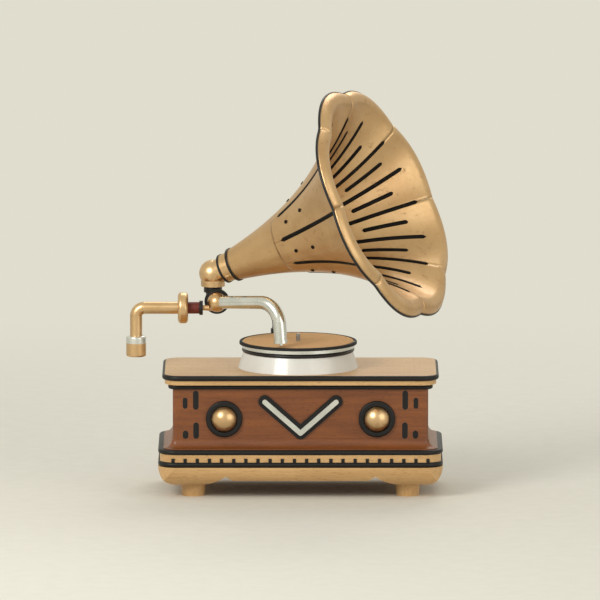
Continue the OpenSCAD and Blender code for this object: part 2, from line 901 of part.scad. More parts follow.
module crank_shaft() {
    y_in = barrel_y + crown_r - crown_half_w;
    color(steel) translate([barrel_x, 0, crank_z]) {
        face_front(y_in + 2 * crown_half_w) linear_extrude(2 * crown_half_w) crank_pinion_2d();
        face_front(crank_plane + crank_hub_h)
            cylinder(r = crank_shaft_r, h = crank_plane + crank_hub_h - y_in - 1);
    }
}

bearing_len = 22;
bearing_r = 10;

escutcheon_t = 2.5;
escutcheon_r = 17;

module crank_bearing() {
    color(brass) translate([barrel_x, 0, crank_z]) {
        face_front(back_y) ring(bearing_r, crank_shaft_r + fit, panel_t + bearing_len);
        face_front(back_y + escutcheon_t) ring(escutcheon_r, crank_shaft_r + fit, escutcheon_t);
    }
}

grip_play = 5;
grip_washer = 3;

module crank_arm() {
    color(steel) translate([barrel_x, 0, crank_z]) {
        face_front(crank_plane + crank_hub_h) ring(crank_hub_r, crank_shaft_r, crank_hub_h);
        translate([crank_hub_r - 2, crank_plane + crank_hub_h / 2, 0]) rotate([0, 90, 0])
            cylinder(r = crank_bar_r - 1, h = crank_len - 2 * crank_hub_r + 4);
        translate([crank_len, 0, 0]) {
            face_front(crank_plane + crank_hub_h) cylinder(r = crank_hub_r, h = crank_hub_h);
            face_front(crank_plane + crank_hub_h + grip_len + grip_play)
                cylinder(r = grip_pin_r, h = grip_len + grip_play + 1);
            face_front(crank_plane + crank_hub_h + grip_len + grip_play)
                cylinder(r = grip_pin_r + grip_washer, h = grip_washer);
        }
    }
}

grip_pin_r = 3;

module crank_grip() {
    color(oak) translate([barrel_x + crank_len, 0, crank_z])
        face_front(crank_plane + crank_hub_h + grip_len + 1) ring(grip_r, grip_pin_r + fit, grip_len);
}

knob_reach = 4;
knob_pin_up = 3;
knob_pin_r = 2;
pin_len = 12;
fork_gap = 1;
fork_wall = 2;
fork_len = 6;
fork_drop = 12;
fork_y = front_y + panel_t + knob_reach + pin_len / 2 + 1;
fork_over = 5;
z_fork = knob_z + knob_pin_up + knob_pin_r + fork_over;
lever_arm_t = 4;
lever_arm_w = 8;

// A lever on an upright shaft: a forked arm over a knob's pin and an arm with a pad
module control_lever(at, fork_x, pad_at, z_pad) {
    foot = [at[0], at[1]];
    translate([at[0], at[1], z_plate_low]) cylinder(r = lever_r, h = z_plate_top + plate_t - z_plate_low);
    translate([0, 0, z_fork]) linear_extrude(lever_arm_t) stroke_2d(foot, [fork_x, fork_y], lever_arm_w);
    translate([0, 0, z_pad]) linear_extrude(lever_arm_t) stroke_2d(foot, pad_at, lever_arm_w - 2);
    for (side = [-1, 1])
        translate([fork_x + side * (knob_pin_r + fork_gap + fork_wall / 2), fork_y, z_fork + 1 - fork_drop / 2])
            cube([fork_wall, fork_len, fork_drop + 2], center = true);
}

brake_pad_gap = 11.5;
speed_pad_gap = 8.5;
pad_r = 3;
disc_r = 17;
disc_clear = 9;
z_disc = z_plate_low + plate_t + disc_clear;
disc_t = 4;
function toward(a, b) = (b - a) / norm(b - a);
brake_line = atan2(-brake_y, spindle_x - brake_x);
brake_swing = [cos(brake_line - 90), sin(brake_line - 90)];
brake_pad_at = [spindle_x, 0] - brake_swing * (drum_r + brake_pad_gap + pad_r);
speed_line = atan2(governor_y - speed_y, governor_x - speed_x);
speed_swing = [cos(speed_line + 90), sin(speed_line + 90)];
speed_pad_at = [governor_x, governor_y] - speed_swing * (disc_r + speed_pad_gap + pad_r);

module brake_lever() {
    color(steel) control_lever([brake_x, brake_y], knob_x, brake_pad_at, z_drum + 1);
}

module speed_lever() {
    color(steel) control_lever([speed_x, speed_y], -knob_x, speed_pad_at, z_disc);
}

governor_up = 4;
governor_hub_r = arbor_r + 3;
governor_hub_h = 6;
fly_r = 5;
fly_h = 12;
leaf_w = 6;

module governor() {
    z_mid = (z_disc + z_wheel) / 2 + governor_up;
    color(brass) translate([governor_x, governor_y, 0]) {
        arbor(0);
        translate([0, 0, z_spindle_gear - 1])
            pinion_gear(pinion_n, gear_t + 2, mesh_turn(governor_angle, wheel_n, 0, pinion_n));
        translate([0, 0, z_disc]) cylinder(r = disc_r, h = disc_t);
        translate([0, 0, z_disc + disc_t]) cylinder(r = governor_hub_r, h = governor_hub_h);
        translate([0, 0, z_wheel]) cylinder(r = governor_hub_r, h = governor_hub_h);
        for (a = [0, 120, 240]) rotate([0, 0, a]) {
            translate([governor_r, 0, z_mid - fly_h / 2]) cylinder(r = fly_r, h = fly_h);
            rotate([90, 0, 0]) translate([0, 0, -leaf_w / 2]) linear_extrude(leaf_w) polygon([
                [arbor_r + 2, z_disc + disc_t + 5], [governor_r, z_mid], [arbor_r + 2, z_wheel + 1],
                [arbor_r + 2, z_wheel + 3], [governor_r + 1, z_mid], [arbor_r + 2, z_disc + disc_t + 3]
            ]);
        }
    }
}

// Rear bracket

elbow_cut = 22;
z_ring_top = elbow_z - elbow_cut;
ring_h = 10;
z_ring = z_ring_top - ring_h;
head_r = 12;
socket_r = 15.6;
bracket_x = -40;
bracket_clear = 12;
bracket_y = back_y + board_out + bracket_clear;
bracket_bar_r = 9;
bracket_bend_r = 40;
bar_fall = 4.7;
drop_across = 4;
drop_back = 29;
drop_x = swivel_x + drop_across;
drop_y = swivel_y + drop_back;
bar_below = 10.5;
z_bar = hub_z - bar_below;
bracket_foot_z = 115;
bracket_foot_h = 60;
foot_plate_w = 54;
foot_plate_t = 6;
foot_web = 12;
foot_plate_extra = 4;
drop_extra = 1.5;
drop_r = bracket_bar_r + drop_extra;
screw_r = 2;
screw_in_x = 20;
screw_in_z = 8;

// A round bar or tube that runs along X, bends down by a right angle and ends after a straight leg
module gooseneck(reach, bend_r, r, bore, down, start) {
    translate([start, 0, 0]) rotate([0, 90, 0]) pipe(r, bore, reach - bend_r - start);
    translate([reach - bend_r, 0, -bend_r]) rotate([90, 0, 0])
        rotate_extrude(angle = 90) translate([bend_r, 0]) pipe_2d(r, bore);
    translate([reach, 0, -bend_r]) rotate([180, 0, 0]) pipe(r, bore, down - bend_r);
}

module pipe_2d(r, bore) {
    difference() {
        circle(r);
        if (bore > 0) circle(bore);
    }
}

module pipe(r, bore, h) {
    linear_extrude(h) pipe_2d(r, bore);
}

post_extra = 2;
post_r = bracket_bar_r + post_extra;
post_socket = 20;
bar_run = norm([bracket_x - drop_x, bracket_y - drop_y]);
post_cross = bracket_bend_r + post_socket / 2;
bar_reach = (bar_run + post_cross * sin(bar_fall)) / cos(bar_fall);
z_post_top = z_bar - bar_reach * sin(bar_fall) - post_cross * cos(bar_fall) + 0.4 * post_socket;

// Ring for the swivel head, arm to the rear, slightly falling bar, post and foot
module bracket() {
    color(ebony) difference() {
        union() {
            translate([swivel_x, swivel_y, z_ring]) cylinder(r = socket_r, h = ring_h);
            translate([0, 0, z_ring]) linear_extrude(ring_h)
                stroke_2d([swivel_x, swivel_y + head_r], [drop_x, drop_y], 2 * bracket_bar_r);
            translate([drop_x, drop_y, z_bar - drop_r]) cylinder(r = drop_r, h = z_ring_top - z_bar + drop_r);
            translate([drop_x, drop_y, z_bar]) rotate([0, 0, atan2(bracket_y - drop_y, bracket_x - drop_x)])
                rotate([0, bar_fall, 0])
                gooseneck(bar_reach, bracket_bend_r, bracket_bar_r, 0, bracket_bend_r + post_socket, 1);
            translate([bracket_x, bracket_y, bracket_foot_z])
                cylinder(r = post_r, h = z_post_top - bracket_foot_z);
            translate([bracket_x - foot_web / 2, back_y + 1, bracket_foot_z])
                cube([foot_web, bracket_y - back_y - 1, bracket_foot_h]);
            translate([bracket_x - foot_plate_w / 2, back_y, bracket_foot_z - foot_plate_extra])
                cube([foot_plate_w, foot_plate_t, bracket_foot_h + 2 * foot_plate_extra]);
        }
        translate([swivel_x, swivel_y, z_ring - 1]) cylinder(r = head_r + fit, h = ring_h + 2);
        bracket_screw_places() cylinder(r = screw_r, h = 4 * foot_plate_t, center = true);
    }
}

module bracket_screw_places() {
    for (x = [-1, 1], z = [screw_in_z, bracket_foot_h - screw_in_z])
        translate([bracket_x + x * screw_in_x, back_y, bracket_foot_z + z]) rotate([-90, 0, 0]) children();
}

module bracket_screws() {
    color(steel) bracket_screw_places() {
        translate([0, 0, 1 - panel_t]) cylinder(r = screw_r, h = foot_plate_t + panel_t);
        translate([0, 0, foot_plate_t]) cylinder(r = screw_r * 2, h = 2);
    }
}

// Tone arm

hub_across = 7;
hub_x = swivel_x + hub_across;
hub_y = -4;
hub_back_y = 5.7;
disc_front_y = hub_back_y + seat;
hub_disc_r = 21.4;
hub_disc_t = 6;
head_below = 17;
hub_pin_r = 6;
hub_pin_short = 3;
hub_pin_end = swivel_y - hub_pin_short;
spigot_r = 9;

head_wall = 4;
pin_bore_extra = 10;
spigot_bore_h = 40;

module swivel_head() {
    color(ebony) difference() {
        union() {
            translate([swivel_x, swivel_y, hub_z - head_below])
                cylinder(r = head_r, h = z_ring_top - 1 - hub_z + head_below);
            translate([hub_x, 0, hub_z]) {
                face_front(disc_front_y + hub_disc_t) cylinder(r = hub_disc_r, h = hub_disc_t);
                face_front(swivel_y) cylinder(r = hub_pin_r + head_wall, h = swivel_y - disc_front_y);
            }
        }
        translate([hub_x, 0, hub_z]) face_front(hub_pin_end + seat)
            cylinder(r = hub_pin_r + fit, h = hub_pin_end + pin_bore_extra);
        translate([swivel_x, swivel_y, z_ring - 2]) cylinder(r = spigot_r, h = spigot_bore_h);
    }
}

balance_drop = 10;
balance_z = hub_z - balance_drop;
nozzle_x = -166;
nozzle_r = 5.4;

hub_cut = 30;
nozzle_short = 8;

module hub_ball() {
    color(brass) difference() {
        union() {
            intersection() {
                translate([hub_x, hub_y, hub_z]) sphere(hub_ball_r);
                translate([hub_x - hub_cut, hub_back_y - 2 * hub_cut, hub_z - hub_cut]) cube(2 * hub_cut);
            }
            translate([hub_x, 0, hub_z]) face_front(hub_pin_end)
                cylinder(r = hub_pin_r, h = hub_pin_end - hub_back_y + 2);
            translate([nozzle_x, 0, balance_z]) rotate([0, 90, 0])
                cylinder(h = hub_x - nozzle_x - nozzle_short, r1 = nozzle_r - 1, r2 = nozzle_r);
        }
        tone_arm_place() translate([tube_start, 0, 0]) rotate([0, 90, 0])
            cylinder(r = tube_r, h = 2 * hub_ball_r);
    }
}

tube_start = 9;
needle_gap = 0.6;
needle_len = 3;
chuck_h = 3.5;
chuck_r = 3;
box_h = 5;
box_out = 1;
z_needle = z_play + needle_gap;
arm_drop = hub_z - z_needle;
neck_reach = arm_reach * cos(arm_rise) - arm_drop * sin(arm_rise);
neck_down = arm_reach * sin(arm_rise) + arm_drop * cos(arm_rise);
tube_down = neck_down - needle_len - chuck_h - box_h;

// Tilted frame of the tone arm: the tube along X, the needle's leg downwards
module tone_arm_place() {
    translate([hub_x, hub_y, hub_z]) rotate([0, 0, -arm_yaw]) rotate([0, -arm_rise, 0]) children();
}

module tone_arm() {
    color(nickel) tone_arm_place()
        gooseneck(neck_reach, arm_bend_r, tube_r, tube_r - tube_wall, tube_down, tube_start);
}

module leg_place(down) {
    tone_arm_place() translate([neck_reach, 0, -down]) children();
}

module sound_box() {
    color(nickel) {
        leg_place(tube_down + box_h) cylinder(r = tube_r + box_out, h = box_h);
        leg_place(tube_down + box_h + chuck_h) cylinder(r = chuck_r, h = chuck_h);
    }
}

needle_tip_r = 0.2;
needle_r = 0.8;

module needle() {
    color(steel) leg_place(neck_down) cylinder(h = needle_len, r1 = needle_tip_r, r2 = needle_r);
}

// Balance arm

sleeve_ring_w = 6;
sleeve_ring_r = 12.3;
sleeve_r = 10;
sleeve_len = 19;
collar_w = 17.5;
collar_round = 6;
collar_web = 2;
collar_wall = 3;
sleeve_x = nozzle_x - sleeve_ring_w;
collar_x = sleeve_x - sleeve_len;

module along_x(x) {
    translate([x, 0, balance_z]) rotate([0, 90, 0]) children();
}

module sleeve_ring() {
    color(ebony) along_x(sleeve_x) cylinder(r = sleeve_ring_r, h = sleeve_ring_w);
}

module fibre_sleeve() {
    color(fibre) along_x(collar_x) cylinder(r = sleeve_r, h = sleeve_len);
}

module arm_collar() {
    color(brass) along_x(collar_x - collar_w) difference() {
        rotate_extrude() {
            square([collar_r - collar_round, collar_w]);
            translate([0, collar_round]) square([collar_r, collar_w - 2 * collar_round]);
            for (y = [collar_round, collar_w - collar_round])
                translate([collar_r - collar_round, y]) circle(collar_round);
        }
        translate([0, 0, -1]) cylinder(r = balance_rod_r + fit, h = collar_w - collar_web + 1);
        translate([0, 0, -1])
            ring(collar_r - collar_round, balance_rod_r + collar_wall, collar_w - 2 * collar_web);
    }
}

balance_bend_r = 14;
weight_round = 3;
rod_start = collar_x - collar_web - seat;
balance_leg = 48;
z_weight = balance_z - balance_leg - weight_h;
weight_cap_h = 12;

rod_wall = 1.5;
cup_wall = 3;

module balance_rod() {
    color(brass) translate([rod_start, 0, balance_z]) rotate([0, 0, 180])
        gooseneck(rod_start - balance_x, balance_bend_r, balance_rod_r, balance_rod_r - rod_wall,
                  balance_z - z_weight - weight_h, 0);
}

// Half outline of a cup: closed and rounded at the foot, open above
module cup_2d(h) {
    difference() {
        union() {
            translate([0, weight_round]) square([weight_r, h - weight_round]);
            square([weight_r - weight_round, weight_round]);
            translate([weight_r - weight_round, weight_round]) intersection() {
                circle(weight_round);
                translate([0, -weight_round]) square([weight_round, weight_round]);
            }
        }
        translate([-1, cup_wall]) square([weight_r - cup_wall + 1, h]);
    }
}

module balance_weight() {
    color(brass) translate([balance_x, 0, z_weight]) rotate_extrude() cup_2d(weight_h - weight_cap_h);
}

module weight_cap() {
    color(nickel) translate([balance_x, 0, z_weight + weight_h]) rotate([180, 0, 0])
        rotate_extrude() cup_2d(weight_cap_h);
}

// Horn

band_w = 4;
t_band = 22;
t_collar = t_band + band_w;
t_band_2 = 42;
t_throat = t_band_2 + band_w;
t_petal = 150;
horn_spigot_r = 12;
elbow_step = 3;
band_out = 1.5;

module horn_frame() {
    translate([swivel_x, swivel_y, elbow_z]) rotate([0, 90 - horn_tilt, -horn_yaw]) children();
}

function flare(u) = (exp(horn_flare * u) - 1) / (exp(horn_flare) - 1);
function horn_r(t) = horn_throat_r + (horn_bell_r - horn_throat_r) * flare(t / horn_len);
function horn_slope(t) = atan((horn_bell_r - horn_throat_r) * horn_flare / horn_len
                              * exp(horn_flare * t / horn_len) / (exp(horn_flare) - 1));

elbow_wall = 2;

module horn_elbow() {
    color(brass) difference() {
        union() {
            translate([swivel_x, swivel_y, elbow_z]) {
                sphere(elbow_r);
                translate([0, 0, z_ring_top + seat - elbow_z])
                    cylinder(r = elbow_r - elbow_step, h = elbow_z - z_ring_top - seat);
                translate([0, 0, z_ring + 1 - elbow_z]) cylinder(r = spigot_r - fit, h = ring_h + 4);
            }
            horn_frame() {
                cylinder(r = elbow_r - elbow_step, h = t_band);
                cylinder(r = horn_spigot_r, h = t_throat - 4);
            }
        }
        translate([swivel_x, swivel_y, z_ring]) cylinder(r = spigot_r - elbow_wall, h = elbow_z - z_ring);
        horn_frame() {
            sphere(horn_spigot_r - elbow_wall);
            cylinder(r = horn_spigot_r - elbow_wall, h = t_throat);
        }
    }
}

module horn_bands() {
    color(ebony) horn_frame() {
        translate([0, 0, t_band + seat]) ring(horn_r(t_band) + band_out, horn_spigot_r + fit, band_w - seat);
        translate([0, 0, t_band_2]) ring(horn_r(t_throat) + band_out, horn_spigot_r + fit, band_w);
    }
}

module horn_collar() {
    color(brass) horn_frame() translate([0, 0, t_collar])
        ring(horn_r(t_collar), horn_spigot_r + fit, t_band_2 - t_collar);
}

throat_steps = 8;

module horn_throat() {
    ts = [for (i = [0:throat_steps]) t_throat + (t_petal - t_throat) * i / throat_steps];
    color(brass) horn_frame() rotate_extrude() polygon(concat(
        [for (t = ts) [horn_r(t), t]],
        [for (i = [throat_steps:-1:0]) [horn_r(ts[i]) - horn_wall, ts[i]]]
    ));
}

flare_rows = 15;
lip_rows = 7;
lip_end = 150;
lip_start = horn_slope(horn_len);

// Rows of the bell: distance along the axis, radius, slope and share of the scallop
bell_rows = concat(
    [for (i = [0:flare_rows]) let (t = t_petal + (horn_len - t_petal) * i / flare_rows)
        [t, horn_r(t), horn_slope(t), pow((t - t_petal) / (horn_len - t_petal), 2)]],
    [for (i = [1:lip_rows]) let (b = lip_start + (lip_end - lip_start) * i / lip_rows)
        [horn_len - lip_r * sin(lip_start) + lip_r * sin(b),
         horn_bell_r + lip_r * cos(lip_start) - lip_r * cos(b), b, 1]]
);
row_n = len(bell_rows);
petal_angle = 360 / petal_n;
seam_angle = 5;
seam_gap = 0.035;
petal_cols = 8;

// Point of the bell: out is the offset outwards from the outer face
function bell_point(row, a, out) =
    let (rise = sin(180 * ((a - seam_angle) / petal_angle - floor((a - seam_angle) / petal_angle))),
         r = row[1] - petal_scallop * row[3] * (1 - rise) + out * cos(row[2]))
    [-r * cos(a), r * sin(a), row[0] - out * sin(row[2])];

function grid_faces(cols, rows) = concat(
    [for (i = [0:rows - 2], j = [0:cols - 2]) let (a = i * cols + j)
        each [[a, a + 1, a + cols], [a + 1, a + cols + 1, a + cols]]]
);

// A closed shell over two grids of the same size, the outer one first
module shell(outer, inner, cols, rows) {
    n = cols * rows;
    edge = concat(
        [for (j = [0:cols - 1]) j],
        [for (i = [1:rows - 1]) i * cols + cols - 1],
        [for (j = [cols - 2:-1:0]) (rows - 1) * cols + j],
        [for (i = [rows - 2:-1:1]) i * cols]
    );
    m = len(edge);
    polyhedron(points = concat(outer, inner), faces = concat(
        grid_faces(cols, rows),
        [for (f = grid_faces(cols, rows)) [f[0] + n, f[2] + n, f[1] + n]],
        [for (k = [0:m - 1]) let (p = edge[k], q = edge[(k + 1) % m])
            each [[p, q + n, q], [p, p + n, q + n]]]
    ));
}

module horn_petals() {
    cols = petal_cols + 1;
    color(brass) horn_frame() for (k = [0:petal_n - 1]) {
        from = seam_angle + k * petal_angle + seam_gap;
        step = (petal_angle - 2 * seam_gap) / petal_cols;
        shell([for (row = bell_rows, j = [0:petal_cols]) bell_point(row, from + j * step, 0)],
              [for (row = bell_rows, j = [0:petal_cols]) bell_point(row, from + j * step, -horn_wall)],
              cols, row_n);
    }
}

seam_half = 1.9;
seam_h = 1.2;
seam_lift = 0.25;
crease_lift = 0.55;

// A rib along the bell at one angle, between two rows, on the face at offset low
module bell_rib(a, first, last, low, high, half) {
    rows = [for (i = [first:last]) bell_rows[i]];
    shell([for (row = rows, s = [-1, 1]) bell_point(row, a + s * half / row[1] * 180 / PI, high)],
          [for (row = rows, s = [-1, 1]) bell_point(row, a + s * half / row[1] * 180 / PI, low)],
          2, last - first + 1);
}

crease_first = 6;
crease_last = 13;

// Dark seams outside and creases inside the bell: one along each seam, three within each petal
module horn_seams() {
    color(ebony) horn_frame() for (k = [0:petal_n - 1]) {
        bell_rib(seam_angle + k * petal_angle, 1, row_n - 1, seam_lift, seam_h, seam_half);
        for (part = [0:3]) {
            short = part % 2;
            bell_rib(seam_angle + (k + part / 4) * petal_angle, crease_first + 2 * short,
                     crease_last + (part == 0 ? 1 : -short),
                     -horn_wall - seam_h, -horn_wall - crease_lift, seam_half);
        }
    }
}

rim_r = 2;
rim_sides = 6;

// The wired edge of the lip
module horn_rim() {
    cols = petal_n * petal_cols;
    row = bell_rows[row_n - 1];
    points = [for (i = [0:cols - 1], s = [0:rim_sides - 1])
        let (a = seam_angle + i * 360 / cols,
             edge = [row[0] + (rim_r + 0.1) * cos(row[2]), row[1] + (rim_r + 0.1) * sin(row[2]), row[2], 1],
             turn = s * 360 / rim_sides,
             ring = [edge[0] + rim_r * cos(turn), edge[1] + rim_r * sin(turn), 0, 1])
        bell_point(ring, a, 0)];
    faces = [for (i = [0:cols - 1], s = [0:rim_sides - 1])
        let (p = i * rim_sides + s, q = i * rim_sides + (s + 1) % rim_sides, n = cols * rim_sides)
        each [[p, q, (q + rim_sides) % n], [p, (q + rim_sides) % n, (p + rim_sides) % n]]];
    color(ebony) horn_frame() polyhedron(points = points, faces = faces);
}

rivet_r = 3.2;
rivet_h = 1.2;
rivet_lift = 0.2;
rivet_rows = [3, 6];

module horn_rivets() {
    color(ebony) horn_frame() for (k = [0:petal_n - 1], i = rivet_rows) {
        row = bell_rows[i];
        a = seam_angle + (k + 0.5) * petal_angle;
        translate(bell_point(row, a, rivet_lift)) rotate([0, 0, 180 - a]) rotate([0, 90 + row[2], 0])
            cylinder(r = rivet_r, h = rivet_h);
    }
}

feet();
plinth();
base_beads();
dentil_band();
dentils();
cove_moulding();
front_panel();
back_panel();
side_panels();
bottom_board();
corner_blocks();
top_board();
top_beads();
inlays();
chevron_backing();
chevron_bar();
knob_bezels();
brake_knob();
speed_knob();
shroud();
shroud_bead();
platter();
platter_ring();
felt();
spindle();
motor_plates();
motor_pillars();
fixing_screws();
plate_bushes();
intermediate_gears();
spring_barrel();
mainspring();
winding_arbor();
governor();
brake_lever();
speed_lever();
crank_shaft();
crank_bearing();
crank_arm();
crank_grip();
bracket();
swivel_head();
hub_ball();
tone_arm();
sound_box();
needle();
sleeve_ring();
fibre_sleeve();
arm_collar();
balance_rod();
balance_weight();
weight_cap();
horn_elbow();
horn_bands();
horn_collar();
horn_throat();
horn_petals();
horn_seams();
horn_rim();
horn_rivets();
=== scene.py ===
"""Table phonograph with a petalled brass horn: its formed pieces and the finish of every part."""

import logging
import math
from dataclasses import dataclass, field, replace
from enum import Enum

import bmesh
import bpy
from mathutils import Matrix, Vector, noise


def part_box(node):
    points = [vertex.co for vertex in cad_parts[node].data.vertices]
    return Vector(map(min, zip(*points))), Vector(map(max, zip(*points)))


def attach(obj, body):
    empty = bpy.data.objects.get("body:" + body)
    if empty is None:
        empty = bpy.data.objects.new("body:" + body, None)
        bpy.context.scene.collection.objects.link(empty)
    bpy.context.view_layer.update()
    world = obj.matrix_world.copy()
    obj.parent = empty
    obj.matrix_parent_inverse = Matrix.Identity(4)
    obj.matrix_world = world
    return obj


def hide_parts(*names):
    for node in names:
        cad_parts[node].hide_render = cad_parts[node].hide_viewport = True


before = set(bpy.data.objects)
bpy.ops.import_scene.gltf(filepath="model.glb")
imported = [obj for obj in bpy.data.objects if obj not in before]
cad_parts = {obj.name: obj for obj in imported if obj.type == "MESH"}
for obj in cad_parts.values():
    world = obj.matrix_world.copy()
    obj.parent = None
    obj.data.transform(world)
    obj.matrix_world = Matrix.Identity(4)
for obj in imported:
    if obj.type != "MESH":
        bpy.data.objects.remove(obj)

LOG = logging.getLogger("phonograph")
MM = 0.001
WELD = 1e-6


def linear(code: str) -> tuple[float, float, float, float]:
    """Turn an sRGB colour to the linear one that the shaders use.

    Args:
        code: the colour as #RRGGBB.

    Returns:
        Red, green, blue and an alpha of 1.
    """
    parts = [int(code[i:i + 2], 16) / 255 for i in (1, 3, 5)]
    return (*(p / 12.92 if p <= 0.04045 else ((p + 0.055) / 1.055) ** 2.4 for p in parts), 1.0)


def add(tree: bpy.types.NodeTree, kind: str, settings: dict | None = None,
        links: dict | None = None) -> bpy.types.Node:
    """Add a node with its settings and links.

    Args:
        tree: the node tree that takes it.
        kind: the node's type.
        settings: attributes by name, or values of inputs by name or number.
        links: output sockets, by the name or number of the input that each feeds.

    Returns:
        The new node.
    """
    made = tree.nodes.new(kind)
    for key, value in (settings or {}).items():
        if isinstance(key, str) and hasattr(made, key):
            setattr(made, key, value)
        else:
            made.inputs[key].default_value = value
    for key, socket in (links or {}).items():
        tree.links.new(socket, made.inputs[key])
    return made


def pattern(tree: bpy.types.NodeTree, place: bpy.types.NodeSocket, sizes: tuple[float, float, float],
            low: float, high: float, detail: float = 4.0, swirl: float = 0.0) -> bpy.types.NodeSocket:
    """Lay a cloudy pattern of a real size over the surface.

    Args:
        tree: the node tree that takes it.
        place: the socket of the coordinates, in metres.
        sizes: the pattern's size along X, Y and Z, in millimetres.
        low: the noise value that becomes 0.
        high: the noise value that becomes 1.
        detail: the finer layers in the pattern.
        swirl: how far the pattern is twisted in itself.

    Returns:
        The socket of the pattern, from 0 to 1.
    """
    scaled = add(tree, "ShaderNodeMapping", {"Scale": tuple(1 / (s * MM) for s in sizes)}, {"Vector": place})
    cloud = add(tree, "ShaderNodeTexNoise", {"Scale": 1.0, "Detail": detail, "Distortion": swirl},
                {"Vector": scaled.outputs[0]})
    return add(tree, "ShaderNodeMapRange", {"From Min": low, "From Max": high},
               {"Value": cloud.outputs[0]}).outputs[0]


def edges(tree: bpy.types.NodeTree, radius_mm: float, reach: float) -> bpy.types.NodeSocket:
    """Find the outer edges of a piece, where hands and cloths rub it and where timber also takes a painted edge
    highlight.

    Args:
        tree: the node tree that takes it.
        radius_mm: how far the worn strip, and on timber the painted edge highlight, runs from an edge, in
            millimetres.
        reach: the turn of the surface, as a share, at which the wear is full.

    Returns:
        The socket of the edge mask, for wear and for the painted edge highlight on timber, from 0 to 1.
    """
    round_normal = add(tree, "ShaderNodeBevel", {"samples": 4, "Radius": radius_mm * MM})
    flat_normal = add(tree, "ShaderNodeNewGeometry")
    along = add(tree, "ShaderNodeVectorMath", {"operation": "DOT_PRODUCT"},
                {0: round_normal.outputs[0], 1: flat_normal.outputs["Normal"]})
    return add(tree, "ShaderNodeMapRange", {"From Min": 1 - reach * 0.25, "From Max": 1 - reach},
               {"Value": along.outputs["Value"]}).outputs[0]


def lay_over(tree: bpy.types.NodeTree, under: bpy.types.NodeSocket, colour: str,
             where: bpy.types.NodeSocket, strength: float) -> bpy.types.NodeSocket:
    """Lay a second colour over the first one where a pattern shows.

    Args:
        tree: the node tree that takes it.
        under: the socket of the colour underneath.
        colour: the colour on top, as #RRGGBB.
        where: the socket of the pattern, from 0 to 1.
        strength: how well the top colour covers where the pattern is full.

    Returns:
        The socket of the colour that results.
    """
    cover = add(tree, "ShaderNodeMath", {"operation": "MULTIPLY", 1: strength}, {0: where})
    return add(tree, "ShaderNodeMix", {"data_type": "RGBA", 7: linear(colour)},
               {0: cover.outputs[0], 6: under}).outputs[2]


class Grain(Enum):
    """Direction of a board's grain, by the number of its axis."""

    ACROSS = 0
    DEPTH = 1
    UP = 2


@dataclass(frozen=True)
class Finish:
    """A finish: its name, its main colour, the darker colour in its patches, and its roughness."""

    name: str
    colour: str
    shade: str
    rough: float

    def title(self) -> str:
        """Name of the material."""
        return self.name

    def material(self) -> bpy.types.Material:
        """The finish as a material, made at its first use."""
        found = bpy.data.materials.get(self.title())
        if found:
            return found
        made = bpy.data.materials.new(self.title())
        made.use_nodes = True
        made.diffuse_color = linear(self.colour)
        tree = made.node_tree
        tree.nodes.clear()
        shader = add(tree, "ShaderNodeBsdfPrincipled")
        add(tree, "ShaderNodeOutputMaterial", links={"Surface": shader.outputs[0]})
        self.grow(tree, shader, add(tree, "ShaderNodeTexCoord").outputs["Object"])
        return made

    def grow(self, tree: bpy.types.NodeTree, shader: bpy.types.Node, place: bpy.types.NodeSocket) -> None:
        """Lay the finish's patterns into its shader.

        Args:
            tree: the material's node tree.
            shader: its surface shader.
            place: the socket of the coordinates, in metres.
        """
        raise NotImplementedError


